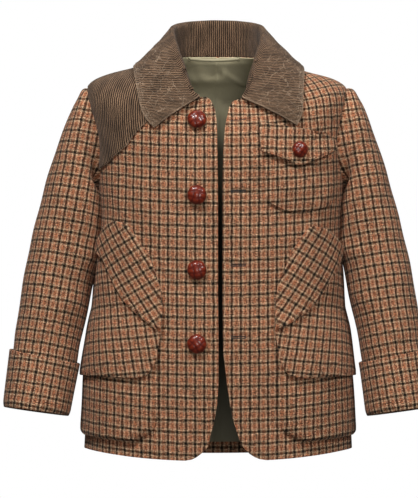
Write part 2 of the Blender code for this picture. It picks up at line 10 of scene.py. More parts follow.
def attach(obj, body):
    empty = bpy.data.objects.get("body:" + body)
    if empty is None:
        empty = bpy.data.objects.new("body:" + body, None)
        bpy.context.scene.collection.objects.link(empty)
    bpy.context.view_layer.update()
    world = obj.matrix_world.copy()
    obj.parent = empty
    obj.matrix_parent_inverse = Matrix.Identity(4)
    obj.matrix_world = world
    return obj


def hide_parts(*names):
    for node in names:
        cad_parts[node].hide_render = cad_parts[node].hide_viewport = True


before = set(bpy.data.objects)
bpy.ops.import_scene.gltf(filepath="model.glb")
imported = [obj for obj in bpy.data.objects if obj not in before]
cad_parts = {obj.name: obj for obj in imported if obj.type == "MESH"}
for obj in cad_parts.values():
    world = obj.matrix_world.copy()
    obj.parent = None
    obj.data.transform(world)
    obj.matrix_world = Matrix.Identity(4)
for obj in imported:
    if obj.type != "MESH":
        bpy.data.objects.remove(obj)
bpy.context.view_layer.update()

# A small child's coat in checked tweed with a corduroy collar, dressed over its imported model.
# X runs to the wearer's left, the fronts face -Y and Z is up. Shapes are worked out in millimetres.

mm = 0.001

cameraSetup = {
    "place": (-0.01035, -4.1, -0.227),  # straight in front of the coat, level with its middle
    "lens": 299.6,
    "sensorWidth": 36,
}

camera = bpy.data.objects.new("camera", bpy.data.cameras.new("camera"))
bpy.context.scene.collection.objects.link(camera)
camera.location = cameraSetup["place"]
camera.rotation_euler = (math.pi / 2, 0, 0)
camera.data.sensor_fit = "HORIZONTAL"
camera.data.sensor_width = cameraSetup["sensorWidth"]
camera.data.lens = cameraSetup["lens"]
bpy.context.scene.camera = camera
print("stage: camera")

# Cloth surface of the body, from the same rings as the solids. A place on it is a side (-1 is the
# wearer's right), a distance across from the centre front and a distance up from the hem.

body = {
    # sideZ, right, left, front, back, frontZ, backZ, square
    "rings": {
        "hem": (-460, 157, 158, 100, 98, -471, -473, 2.5),
        "pocketFoot": (-430, 155.5, 156.5, 101, 98, -440, -441, 2.5),
        "hip": (-368, 152.5, 153, 102, 98, -374, -374, 2.5),
        "pocketTop": (-316, 149, 149.5, 101, 97, -320, -320, 2.5),
        "waist": (-285, 146, 146.5, 99, 96, -288, -288, 2.5),
        "ribs": (-235, 142, 146, 97, 95, -237, -236, 2.55),
        "belowArm": (-190, 139, 147, 96, 94, -192, -189, 2.6),
        "underarm": (-158, 141, 149, 95, 93, -160, -154, 2.6),
        "chest": (-98, 146, 149.5, 92.5, 92, -116, -92, 2.6),
        "shoulderTip": (-37, 151, 151, 86, 85, -85, -41, 2.5),
        "shoulder": (-16, 98, 98, 79, 73, -71, -16, 2.35),
        "neck": (0, 50, 50, 66, 52, -52, 2, 2.2),
    },
    "dropPower": 2.4,
    "tableRows": 400,
    "tableShares": 361,
    "armholeFront": 46,
    "armholeBack": 42,
    "armholeFullness": 0.85,
    "armSteps": 40,
    # soft folds pressed out: side, across, low, high, width, height, lean across for each mm up
    "folds": {
        "leftChest": (1, 38, 275, 420, 12, 2.2, 0),
        "rightChest": (-1, 92, 250, 345, 13, 1.8, 0),
        "backLeft": (1, 330, 40, 330, 22, 3.0, 0),
        "backRight": (-1, 322, 60, 300, 20, 2.6, 0),
        "backLow": (-1, 368, 10, 200, 16, 2.2, 0),
        "leftEdge": (1, 46, 250, 470, 6, 1.1, 0),
        "leftArm": (1, 118, 215, 330, 9, 1.6, 0.35),
        "rightArm": (-1, 114, 215, 335, 9, 1.5, 0.32),
    },
    # small pulls round the buttonholes: depth at each height, then place across, reach across and reach up
    "holes": {447: 1.2, 302: 1.2, 217: 1.2, 136: 1.1},
    "pull": (26, 17, 4),
    "unevenness": 0.55,
}


def smoothCurve(places, values, at):
    places, values = np.asarray(places, dtype=float), np.asarray(values, dtype=float)
    at = np.atleast_1d(np.asarray(at, dtype=float))
    slopes = np.gradient(values, places, axis=0)
    i = np.clip(np.searchsorted(places, at) - 1, 0, len(places) - 2)
    width = places[i + 1] - places[i]
    t = (at - places[i]) / width
    shape = (-1,) + (1,) * (values.ndim - 1)
    t, width = t.reshape(shape), width.reshape(shape)
    start = (1 + 2 * t) * (1 - t) ** 2 * values[i] + t * (1 - t) ** 2 * width * slopes[i]
    end = t * t * (3 - 2 * t) * values[i + 1] + t * t * (t - 1) * width * slopes[i + 1]
    return start + end


def lengthsOf(points, axis=0):
    # the way gone along a line of points, or along each line of a net
    steps = np.linalg.norm(np.diff(points, axis=axis), axis=-1)
    return np.insert(np.cumsum(steps, axis=axis), 0, 0, axis=axis)


def unit(lines):
    return lines / np.linalg.norm(lines, axis=-1, keepdims=True)


def bell(distance, reach):
    return np.exp(-((distance / reach) ** 2))


def dip(distance, depth, reach):
    return -depth * bell(distance, reach)


ringNames = list(body["rings"])
ringValues = np.array(list(body["rings"].values()), dtype=float)
sideLine = np.column_stack((ringValues[:, 1:3].mean(axis=1), ringValues[:, 0]))
ringUps = lengthsOf(sideLine)
upUnderarm = ringUps[ringNames.index("underarm")]
upTip = ringUps[ringNames.index("shoulderTip")]
upNeck = ringUps[-1]
tableUps = np.linspace(0, upNeck, body["tableRows"])


def bodyTable(side):
    rings = smoothCurve(ringUps, ringValues, tableUps)
    sideZ, right, left, front, back, frontZ, backZ, square = (rings[:, k, None] for k in range(8))
    angle = np.linspace(0, math.pi, body["tableShares"])[None, :]
    fore = angle <= math.pi / 2
    sine, cosine = abs(np.sin(angle)), abs(np.cos(angle))
    x = side * (left if side > 0 else right) * sine ** (2 / square)
    y = np.where(fore, -front, back) * cosine ** (2 / square)
    z = sideZ + (np.where(fore, frontZ, backZ) - sideZ) * cosine ** body["dropPower"]
    ring = np.stack((x, y, z), axis=2)
    lengths = lengthsOf(ring, 1)
    points = np.empty_like(ring)
    shares = np.linspace(0, 1, body["tableShares"])
    for row in range(len(ring)):
        for axis in range(3):
            points[row, :, axis] = np.interp(shares * lengths[row, -1], lengths[row], ring[row, :, axis])
    normals = side * np.cross(np.gradient(points, axis=1), np.gradient(points, axis=0))
    normals[:, (0, -1), 0] = 0
    whole, seam = lengths[:, -1], lengths[:, (body["tableShares"] - 1) // 2]
    return {"points": points, "normals": unit(normals), "climb": lengthsOf(points), "whole": whole, "seam": seam}


tables = {side: bodyTable(side) for side in (-1, 1)}


def tableAt(side, name, across, up):
    table = tables[side]
    row = np.clip(up / upNeck, 0, 1) * (body["tableRows"] - 1)
    low = np.minimum(row.astype(int), body["tableRows"] - 2)
    rowPart = row - low
    whole = table["whole"][low] * (1 - rowPart) + table["whole"][low + 1] * rowPart
    place = np.clip(across / whole, 0, 1) * (body["tableShares"] - 1)
    first = np.minimum(place.astype(int), body["tableShares"] - 2)
    part = place - first
    values = table[name]
    if values.ndim == 3:
        rowPart, part = rowPart[..., None], part[..., None]
    below = values[low, first] * (1 - part) + values[low, first + 1] * part
    above = values[low + 1, first] * (1 - part) + values[low + 1, first + 1] * part
    return below * (1 - rowPart) + above * rowPart


def foldHeight(side, across, up):
    height = np.zeros_like(across)
    for foldSide, place, low, high, width, rise, lean in body["folds"].values():
        if foldSide == side:
            share = np.clip((up - low) / (high - low), 0, 1)
            offset = across - place - lean * (up - (low + high) / 2)
            height += rise * np.sin(math.pi * share) ** 2 * bell(offset, width)
    if side > 0:
        place, wide, tall = body["pull"]
        for level, depth in body["holes"].items():
            x, y = (across - place) / wide, (up - level) / tall
            height += depth * (0.7 * np.exp(-x * x - (abs(y) - 1.3) ** 2 * 2) - np.exp(-x * x - y * y))
    soft = np.sin(across / 21 + up / 47 + 1.3 * side) * np.sin(up / 33 - across / 60)
    soft += 0.6 * np.sin(across / 11 - up / 29) * np.sin(up / 17 + across / 43 + side)
    return height + body["unevenness"] * soft


def wholeAcross(side, up):
    return np.interp(up, tableUps, tables[side]["whole"])


def seamAcross(side, up):
    return np.interp(up, tableUps, tables[side]["seam"])


def onBody(side, across, up, lift=0.0, folds=1.0):
    across, up, lift = (np.array(v, dtype=float) for v in np.broadcast_arrays(across, up, lift))
    up = np.clip(up, 0, upNeck)
    past = across > wholeAcross(side, up)
    crossed = past | (across < 0)
    beyond = wholeAcross(-side, up) - (across - wholeAcross(side, up))
    reach = np.where(past, beyond, abs(across))
    result = np.empty(across.shape + (3,))
    for each, mask in ((side, ~crossed), (-side, crossed)):
        if mask.any():
            a, u = reach[mask], up[mask]
            height = lift[mask] + folds * foldHeight(each, a, u)
            normal = tableAt(each, "normals", a, u)
            result[mask] = tableAt(each, "points", a, u) + normal * height[:, None]
    return result


def spotOn(side, across, up, lift=0.0, folds=1.0):
    return onBody(side, np.array([float(across)]), np.array([float(up)]), lift, folds)[0]


def armholeAcross(side, up, back=False):
    middle, half = (upUnderarm + upTip) / 2, (upTip - upUnderarm) / 2
    place = np.clip(abs(up - middle) / half, 0, 1)
    reach = (1 - place * place) ** (body["armholeFullness"] / 2)
    edge = seamAcross(side, up)
    return edge + body["armholeBack"] * reach if back else edge - body["armholeFront"] * reach


armTurns = np.pi * np.arange(body["armSteps"] + 1) / body["armSteps"]
armRows = (upUnderarm + upTip) / 2 - (upTip - upUnderarm) / 2 * np.cos(armTurns)
print("stage: body surface")

# Materials: real finishes, with their patterns measured in millimetres; the lining and the leather buttons also carry
# painted light and shade


def linear(hexColour):
    values = [int(hexColour[k : k + 2], 16) / 255 for k in (1, 3, 5)]
    return [v / 12.92 if v <= 0.04045 else ((v + 0.055) / 1.055) ** 2.4 for v in values] + [1]


def addNode(tree, kind, inputs={}, stops=(), **settings):
    # kind is a node and its operation; an input takes a value, a socket or a node for its first output
    kind, *operation = kind.split()
    node = tree.nodes.new("ShaderNode" + kind)
    if operation:
        node.operation = operation[0]
    for key, value in settings.items():
        setattr(node, key, value)
    for key, value in inputs.items():
        value = getattr(value, "outputs", [value])[0]
        if isinstance(value, bpy.types.NodeSocket):
            tree.links.new(value, node.inputs[key])
        else:
            node.inputs[key].default_value = value
    for number, (place, colour) in enumerate(stops):
        element = node.color_ramp.elements[number] if number < 2 else node.color_ramp.elements.new(place)
        element.position, element.color = place, linear(colour)
    return node


def newMaterial(name, settings, draw):
    material = bpy.data.materials.new(name)
    material.use_nodes = True
    tree = material.node_tree
    shader = tree.nodes["Principled BSDF"]
    for key, value in settings.items():
        shader.inputs[key].default_value = value
    for key, source in draw(partial(addNode, tree)).items():
        tree.links.new(getattr(source, "outputs", [source])[0], shader.inputs[key])
    return material


tweedFinish = {
    # a wool gun-club check: two colours of line over a tan ground, in soft woollen yarn, size in mm
    "across": 10.5,
    "up": 13.2,
    # half of each repeat, up to the middle of its dark line
    "warp": (
        (0.0, "#8A5034"), (0.06, "#9A6042"), (0.16, "#A87454"), (0.25, "#C0A282"), (0.34, "#B29276"),
        (0.385, "#3A2A20"), (0.50, "#1E1812"),
    ),
    "weft": (
        (0.0, "#94583A"), (0.10, "#9E6244"), (0.22, "#AA7858"), (0.30, "#C0A282"), (0.375, "#AC8C70"),
        (0.41, "#473A2A"), (0.50, "#2A2A20"),
    ),
    # how far the dark yarns cover the ones they cross
    "warpCover": ((0.36, "#FFFFFF"), (0.42, "#C4BCB4"), (0.5, "#A49C94")),
    "weftCover": ((0.37, "#FFFFFF"), (0.42, "#DCD4CC"), (0.5, "#C4BCB4")),
    "twill": 2.3,  # the real twill line is 1 mm, drawn coarser so that it shows
    "slub": 1.3,
    "wobble": ((0.11, 2.0, 2.2), (0.9, 3.0, 1.4)),  # scale and detail of a noise, and how far it shifts the yarn
    "clouds": ((0.02, 2.0, 0.35, 0.05), (0.62, 1.0, 3.4, -1.68)),  # scale, detail, strength and offset of tone
}
corduroyFinish = {
    "wale": 2.35,
    "stops": ((0.0, "#0E0805"), (0.4, "#2A1D14"), (0.75, "#54402F"), (1.0, "#8C7058")),
    "worn": "#A48C74",
    # creases pressed into the pile: direction over the cloth and spacing
    "creases": ((0.76, -0.65, 9.0), (0.67, 0.74, 12.0)),
}
# the deep colour is painted shade, for the lining where the inside of the coat lies in shade
liningFinish = {"stops": ((0.3, "#D2C69E"), (0.7, "#E0D6B0")), "deep": "#2C2819", "thread": 0.9}
leatherFinish = {"stops": ((0.0, "#260602"), (0.5, "#5E1608"), (1.0, "#8C3014")), "grain": 0.5}
threadFinish = {"dark": "#17120E", "pale": "#A89580", "olive": "#6E6746"}


def mirrored(stops):
    return stops + tuple((1 - place, colour) for place, colour in stops[-2::-1] if place)


def tweedCloth(node):
    # Woollen tweed, woven in a twill and milled: matt, with a soft halo of fibre and no gloss.
    place = node("UVMap", uv_map="cloth")
    flat = node("VectorMath SCALE", {0: place, "Scale": 1000})
    moved = flat
    for scale, detail, reach in tweedFinish["wobble"]:
        shift = node("TexNoise", {"Vector": flat, "Scale": scale, "Detail": detail})
        shift = node("VectorMath SUBTRACT", {0: shift.outputs["Color"], 1: (0.5, 0.5, 0.5)})
        shift = node("VectorMath SCALE", {0: shift, "Scale": reach})
        moved = node("VectorMath ADD", {0: moved, 1: shift})
    axes = node("SeparateXYZ", {0: moved})
    yarns, covers = [], []
    for axis, size, stops in (("X", tweedFinish["across"], "warp"), ("Y", tweedFinish["up"], "weft")):
        count = node("Math DIVIDE", {0: axes.outputs[axis], 1: size})
        phase = node("Math FRACT", {0: count})
        yarns.append(node("ValToRGB", {0: phase}, stops=mirrored(tweedFinish[stops])))
        covers.append(node("ValToRGB", {0: phase}, stops=mirrored(tweedFinish[stops + "Cover"])))
    slant = node("Math ADD", {0: axes.outputs["X"], 1: axes.outputs["Y"]})
    slant = node("Math MULTIPLY", {0: slant, 1: 2 * math.pi / tweedFinish["twill"]})
    twill = node("Math SINE", {0: slant})
    twill = node("Math MULTIPLY_ADD", {0: twill, 1: 0.17, 2: 0.5})
    grain = node("TexNoise", {"Vector": flat, "Scale": 1.1, "Detail": 4.0, "Roughness": 0.7})
    share = node("Math MULTIPLY_ADD", {0: grain, 1: 1.5, 2: -0.75})
    share = node("Math ADD", {0: twill, 1: share}, use_clamp=True)
    woven = node("Mix", {0: share, 6: yarns[0], 7: yarns[1]}, data_type="RGBA")
    for cover in covers:
        woven = node("Mix", {0: 1.0, 6: woven.outputs[2], 7: cover}, data_type="RGBA", blend_type="MULTIPLY")
    slubs = []
    for stretch in ((1.0, 0.16, 1.0), (0.16, 1.0, 1.0)):
        drawn = node("VectorMath MULTIPLY", {0: flat, 1: stretch})
        slubs.append(node("TexNoise", {"Vector": drawn, "Scale": 1 / tweedFinish["slub"], "Detail": 2.0}))
    slub = node("Math ADD", {0: slubs[0], 1: slubs[1]})
    bright = slub = node("Math MULTIPLY_ADD", {0: slub, 1: 1.7, 2: -0.97})
    for scale, detail, strength, offset in tweedFinish["clouds"]:
        cloud = node("TexNoise", {"Vector": flat, "Scale": scale, "Detail": detail})
        cloud = node("Math MULTIPLY_ADD", {0: cloud, 1: strength, 2: offset})
        bright = node("Math ADD", {0: bright, 1: cloud})
    bright = node("Math MAXIMUM", {0: bright, 1: 0.25})
    toned = node("VectorMath SCALE", {0: woven.outputs[2], "Scale": bright})
    relief = node("Math ADD", {0: share, 1: slub})
    bump = node("Bump", {"Height": relief, "Strength": 0.6, "Distance": 0.0005})
    return {"Base Color": toned, "Normal": bump}


def corduroyCloth(node):
    # Cotton corduroy: cut pile in cords with a sheen along each, worn pale where it rubs.
    place = node("UVMap", uv_map="cloth")
    flat = node("VectorMath SCALE", {0: place, "Scale": 1000})
    drift = node("TexNoise", {"Vector": flat, "Scale": 0.25, "Detail": 3.0})
    bend = node("Math MULTIPLY_ADD", {0: drift, 1: 1.6, 2: -0.8})
    axes = node("SeparateXYZ", {0: flat})
    count = node("Math ADD", {0: axes.outputs["X"], 1: bend})
    count = node("Math MULTIPLY", {0: count, 1: math.pi / corduroyFinish["wale"]})
    ridge = node("Math SINE", {0: count})
    ridge = node("Math ABSOLUTE", {0: ridge})
    grain = node("TexNoise", {"Vector": flat, "Scale": 0.9, "Detail": 4.0, "Roughness": 0.7})
    brushed = node("VectorMath MULTIPLY", {0: flat, 1: (1.0, 0.35, 1.0)})
    cloudy = node("TexNoise", {"Vector": brushed, "Scale": 0.12, "Detail": 3.0})
    pile = node("Math MULTIPLY_ADD", {0: grain, 1: 0.9, 2: -0.45})
    pile = node("Math ADD", {0: ridge, 1: pile}, use_clamp=True)
    colour = node("ValToRGB", {0: pile}, stops=corduroyFinish["stops"])
    wander = node("TexNoise", {"Vector": flat, "Scale": 0.07, "Detail": 3.0})
    wander = node("VectorMath SCALE", {0: wander.outputs["Color"], "Scale": 22.0})
    strayed = node("VectorMath ADD", {0: flat, 1: wander})
    broken = node("TexNoise", {"Vector": flat, "Scale": 0.13, "Detail": 1.0})
    broken = node("MapRange", {0: broken, "From Min": 0.34, "From Max": 0.52})
    lines = []
    for alongCloth, downCloth, spacing in corduroyFinish["creases"]:
        reach = node("VectorMath DOT_PRODUCT", {0: strayed, 1: (alongCloth / spacing, downCloth / spacing, 0.0)})
        reach = node("Math PINGPONG", {0: reach.outputs["Value"], 1: 0.5})
        lines.append(node("MapRange", {0: reach, "From Min": 0.01, "From Max": 0.05, "To Min": 1.0, "To Max": 0.0}))
    creased = node("Math MAXIMUM", {0: lines[0], 1: lines[1]})
    creased = node("Math MULTIPLY", {0: creased, 1: broken})
    pressed = node("Attribute", attribute_name="pressed")
    creased = node("Math MULTIPLY", {0: creased, 1: pressed.outputs["Fac"]})
    paling = node("Math MULTIPLY", {0: creased, 1: 0.8})
    wear = node("Attribute", attribute_name="wear")
    rubbed = node("Math MULTIPLY", {0: wear.outputs["Fac"], 1: grain})
    rubbed = node("Math MULTIPLY", {0: rubbed, 1: 1.1}, use_clamp=True)
    for share in (paling, rubbed):
        colour = node("Mix", {0: share, 6: colour, 7: linear(corduroyFinish["worn"])}, data_type="RGBA").outputs[2]
    bright = node("Math MULTIPLY_ADD", {0: cloudy, 1: 1.8, 2: 0.1})
    toned = node("VectorMath SCALE", {0: colour, "Scale": bright})
    raised = node("Math MULTIPLY_ADD", {0: creased, 1: 1.2, 2: pile})
    bump = node("Bump", {"Height": raised, "Strength": 0.8, "Distance": 0.0007})
    return {"Base Color": toned, "Normal": bump}


def liningCloth(node):
    # Plain woven viscose and cotton lining: smooth and thin, with a low soft sheen. Its colour carries
    # painted shade: darker inside the coat, where shade falls, and pale where light comes in at the neck.
    place = node("UVMap", uv_map="cloth")
    flat = node("VectorMath SCALE", {0: place, "Scale": 1000})
    thread = node("VectorMath MULTIPLY", {0: flat, 1: (1.0, 0.1, 1.0)})
    weave = node("TexNoise", {"Vector": thread, "Scale": 1 / liningFinish["thread"], "Detail": 2.0})
    cloudy = node("TexNoise", {"Vector": flat, "Scale": 0.03, "Detail": 3.0})
    tone = node("Math ADD", {0: weave, 1: cloudy})
    tone = node("Math MULTIPLY", {0: tone, 1: 0.5})
    colour = node("ValToRGB", {0: tone}, stops=liningFinish["stops"])
    # painted shade: the lining's colour is darkened towards the deep colour where the inside of the coat lies in shade,
    # and kept pale where light comes in at the neck
    faded = node("Attribute", attribute_name="faded")
    colour = node("Mix", {0: faded.outputs["Fac"], 6: linear(liningFinish["deep"]), 7: colour}, data_type="RGBA")
    bump = node("Bump", {"Height": weave, "Strength": 0.25, "Distance": 0.0002})
    return {"Base Color": colour.outputs[2], "Normal": bump}


def leatherHide(node):
    # Dyed, polished calf leather, plaited and glossy, with painted shade darkening the creases between the straps and
    # painted light on their rounded crowns.
    place = node("TexCoord")
    grain = node(
        "TexNoise", {"Vector": place.outputs["Object"], "Scale": 1000 / leatherFinish["grain"] / 4, "Detail": 3.0}
    )
    crown = node("Attribute", attribute_name="crown")
    tone = node("Math MULTIPLY_ADD", {0: grain, 1: 0.5, 2: -0.25})
    # painted light and shade: the plait's crown lightens the leather on the straps' rounded tops and darkens it in the
    # creases between them
    crown = node("Math MULTIPLY_ADD", {0: crown.outputs["Fac"], 1: 0.6, 2: 0.25})
    tone = node("Math ADD", {0: tone, 1: crown}, use_clamp=True)
    colour = node("ValToRGB", {0: tone}, stops=leatherFinish["stops"])
    bump = node("Bump", {"Height": grain, "Strength": 0.15, "Distance": 0.0002})
    return {"Base Color": colour, "Normal": bump}


def sewingThread(hexColour, node):
    # Twisted polyester-cotton thread: matt, slightly furry.
    place = node("TexCoord")
    twist = node("TexNoise", {"Vector": place.outputs["Object"], "Scale": 1400.0, "Detail": 2.0})
    tone = node("Math MULTIPLY_ADD", {0: twist, 1: 0.9, 2: 0.55})
    colour = node("VectorMath SCALE", {0: linear(hexColour)[:3], "Scale": tone})
    return {"Base Color": colour}


# roughness, specular level, sheen and its roughness of each cloth
clothLooks = {
    "woollen tweed": (tweedCloth, 0.95, 0.2, 0.05, 0.6),
    "cotton corduroy": (corduroyCloth, 0.9, 0.2, 0.08, 0.45),
    "woven lining": (liningCloth, 0.55, 0.35, 0.2, 0.3),
}
clothSockets = ("Roughness", "Specular IOR Level", "Sheen Weight", "Sheen Roughness")
tweed, corduroy, lining = (
    newMaterial(name, dict(zip(clothSockets, look)), draw) for name, (draw, *look) in clothLooks.items()
)
leather = newMaterial(
    "plaited calf leather", {"Roughness": 0.3, "IOR": 1.45, "Coat Weight": 0.25, "Coat Roughness": 0.12}, leatherHide
)
darkThread, paleThread, oliveThread = (
    newMaterial(tone + " sewing thread", {"Roughness": 0.7, "Sheen Weight": 0.2}, partial(sewingThread, hexColour))
    for tone, hexColour in threadFinish.items()
)
print("stage: materials")


def clothSheet(node, points, marks, wall, cut, outside, inside=None, closed=False, flip=False, round=0.4, **attributes):
    # an open net of cloth with its pattern's places, given its wall and a rounded rim by modifiers;
    # the cut, the width and length in metres of what shows laid flat, is not used
    rows, columns = points.shape[:2]
    places, spots = (points * mm).tolist(), (marks * mm).tolist()
    sheet = bmesh.new()
    bmesh.ops.create_grid(sheet, x_segments=columns - 1, y_segments=rows - 1, size=0.5)
    uv = sheet.loops.layers.uv.new("cloth")
    layers = {key: sheet.verts.layers.float.new(key) for key in attributes}
    at = {}
    for vert in sheet.verts:
        row, column = int((vert.co.y + 0.5) * (rows - 1) + 0.5), int((vert.co.x + 0.5) * (columns - 1) + 0.5)
        at[vert] = (row, column)
        vert.co = places[row][column]
        for key, layer in layers.items():
            vert[layer] = attributes[key][row, column]
    for face in sheet.faces:
        for loop in face.loops:
            row, column = at[loop.vert]
            loop[uv].uv = spots[row][column]
    if closed:
        bmesh.ops.remove_doubles(sheet, verts=sheet.verts, dist=0.00001)
    if flip:
        bmesh.ops.reverse_faces(sheet, faces=sheet.faces)
    piece = makePiece(node + "_cloth", sheet, outside, inside)
    solidify = piece.modifiers.new("wall", "SOLIDIFY")
    solidify.thickness, solidify.offset = wall * mm, -1
    if inside:
        solidify.material_offset = 1
    rim = piece.modifiers.new("rounded rim", "BEVEL")
    rim.width, rim.segments, rim.limit_method = wall * round * mm, 2, "ANGLE"
    rim.angle_limit = math.radians(55)
    wearOn(piece, node, node)


def makePiece(name, shape, *finishes):
    mesh = bpy.data.meshes.new(name)
    shape.to_mesh(mesh)
    shape.free()
    mesh.shade_smooth()
    piece = bpy.data.objects.new(name, mesh)
    for finish in finishes:
        if finish:
            mesh.materials.append(finish)
    bpy.context.scene.collection.objects.link(piece)
    return piece


def wearOn(piece, slotName, *nodes):
    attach(piece, "root")
    if nodes:
        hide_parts(*nodes)
    return piece


def straightCurve(rows, at):
    return np.interp(at, *zip(*rows))


# Body panels

panels = {
    "wall": 2.2,
    "seamHalfGap": 0.25,
    "columns": 64,
    "backColumns": 150,
    "rowStep": 2.8,
    # rows along the hem, past the shoulder tip and beside the armhole; the last ones lie under the neck edge
    "footRows": (0, 0.7, 1.5, 2.6, 4, 6, 8, 10.5, 13, 16, 19.5, 23, 27),
    "topRows": 34,
    "armRows": 44,
    "underNeck": (8, 6, 4.5, 3, 2, 1, 0.4, 0),
    "armholePull": (0.9, 2.6),  # depth and reach of what the seams draw down
    "seamPull": (0.5, 2.2),
    # front edges, as rows of (up, across)
    "rightEdge": (
        (0, 38), (1.5, 30), (4, 25), (8, 19.5), (16, 11.5), (27, 9), (42, 4.5), (62, 1), (85, -0.6),
        (180, 0), (300, 0), (424, 1.2), (455, 1.8), (490, 3), (510, 5), (521, 7.5), (527, 10), (531, 14),
    ),
    "leftEdge": (
        (0, 56), (1.5, 48), (4, 42), (8, 36), (16, 28.5), (27, 23.5), (42, 18.5), (62, 13.8), (85, 10.3),
        (120, 6), (180, 5), (300, 5), (370, 6), (416, 8), (478, 11), (505, 13), (521, 17), (527, 20), (531, 25),
    ),
    # the front neck edge dips where the collar ends: middle across, width and depth for each side
    "neckDip": {-1: (27, 11, 15), 1: (28, 13, 20)},
    "neckDipReach": 70,
    "cuts": {"front": (0.235, 0.545), "back": (0.475, 0.555)},
}

footRows, neckRows = np.array(panels["footRows"]), upNeck - np.array(panels["underNeck"])
lowRows = np.linspace(footRows[-1], upUnderarm, int((upUnderarm - footRows[-1]) / panels["rowStep"]))
midRows = np.unique(np.concatenate((armRows, np.linspace(upUnderarm, upTip, panels["armRows"]))).round(3))
topRows = np.linspace(upTip, neckRows[0], panels["topRows"])
panelUps = np.concatenate((footRows, lowRows[1:], midRows[1:], topRows[1:], neckRows[1:]))


def outerEdge(side, up, rear=False):
    edge = seamAcross(side, up) + panels["seamHalfGap"] * (1 if rear else -1)
    armhole = armholeAcross(side, up, rear)
    armed = (up > upUnderarm) & (up < upTip)
    return np.where(armed, np.maximum(armhole, edge) if rear else np.minimum(armhole, edge), edge)


def edgeLift(distance, up):
    # the seams draw the cloth down, most of all round the armhole
    armed = np.clip((up - upUnderarm + 15) / 25, 0, 1)
    return dip(distance, *panels["armholePull"]) * armed + dip(distance, *panels["seamPull"])


def backHalves(ups, columns, inset=0):
    # the back from side to side: each half's side, its places on the body and how far they are from the centre
    shares = np.linspace(-1, 1, columns + 1)[None, :]
    for side in (-1, 1):
        part = abs(shares[:, (shares[0] < 0) == (side < 0)])
        centre = wholeAcross(side, ups)
        across = centre + (outerEdge(side, ups, True) + inset - centre) * part
        yield side, across, np.broadcast_to(ups, across.shape), side * (centre - across)


def bodyMarks(side, across, up):
    # where the check lies: across, and the real distance up the cloth
    climb = tableAt(side, "climb", np.abs(across), up)
    return np.stack((side * across, climb), axis=2)


def neckDrop(side, across, up):
    middle, width, depth = panels["neckDip"][side]
    share = np.clip((up - upNeck) / panels["neckDipReach"] + 1, 0, 1)
    return depth * bell(across - middle, width) * share


for side, label in ((-1, "right"), (1, "left")):
    ups = panelUps[:, None]
    start, end = straightCurve(panels[label + "Edge"], ups), outerEdge(side, ups)
    across = start + (end - start) * np.linspace(0, 1, panels["columns"] + 1)[None, :]
    ups = ups - neckDrop(side, across, ups)
    points, marks = onBody(side, across, ups, edgeLift(end - across, ups)), bodyMarks(side, across, ups)
    clothSheet("front_" + label, points, marks, panels["wall"], panels["cuts"]["front"], tweed, lining, flip=side < 0)

rows, rowMarks = [], []
for side, across, ups, aside in backHalves(panelUps[:, None], panels["backColumns"]):
    rows.append(onBody(side, across, ups, edgeLift(across - outerEdge(side, ups, True), ups)))
    rowMarks.append(np.stack((aside, bodyMarks(side, across, ups)[..., 1]), axis=2))
points, marks = np.concatenate(rows, axis=1), np.concatenate(rowMarks, axis=1)
clothSheet("back", points, marks, panels["wall"], panels["cuts"]["back"], tweed, flip=True)
print("stage: body panels")

# The bare body surface, to hold other cloth clear of it

bareBody = {"low": 80, "rows": 230, "columns": 170}
bare = {"points": [], "normals": []}
for side in (-1, 1):
    ups = np.linspace(bareBody["low"], upNeck, bareBody["rows"])[:, None]
    across = np.linspace(0, 1, bareBody["columns"])[None, :] * wholeAcross(side, ups)
    for name, found in bare.items():
        found.extend(tableAt(side, name, across, np.broadcast_to(ups, across.shape)).reshape(-1, 3))
field = kdtree.KDTree(len(bare["points"]))
for number, point in enumerate(bare["points"]):
    field.insert(point, number)
field.balance()


def holdClear(point, lift, exact=False):
    nearest = field.find(Vector(point))[1]
    normal = bare["normals"][nearest]
    height = float((point - bare["points"][nearest]) @ normal)
    return point + normal * (lift - height) if exact or height < lift else point


# Sleeves and cuffs

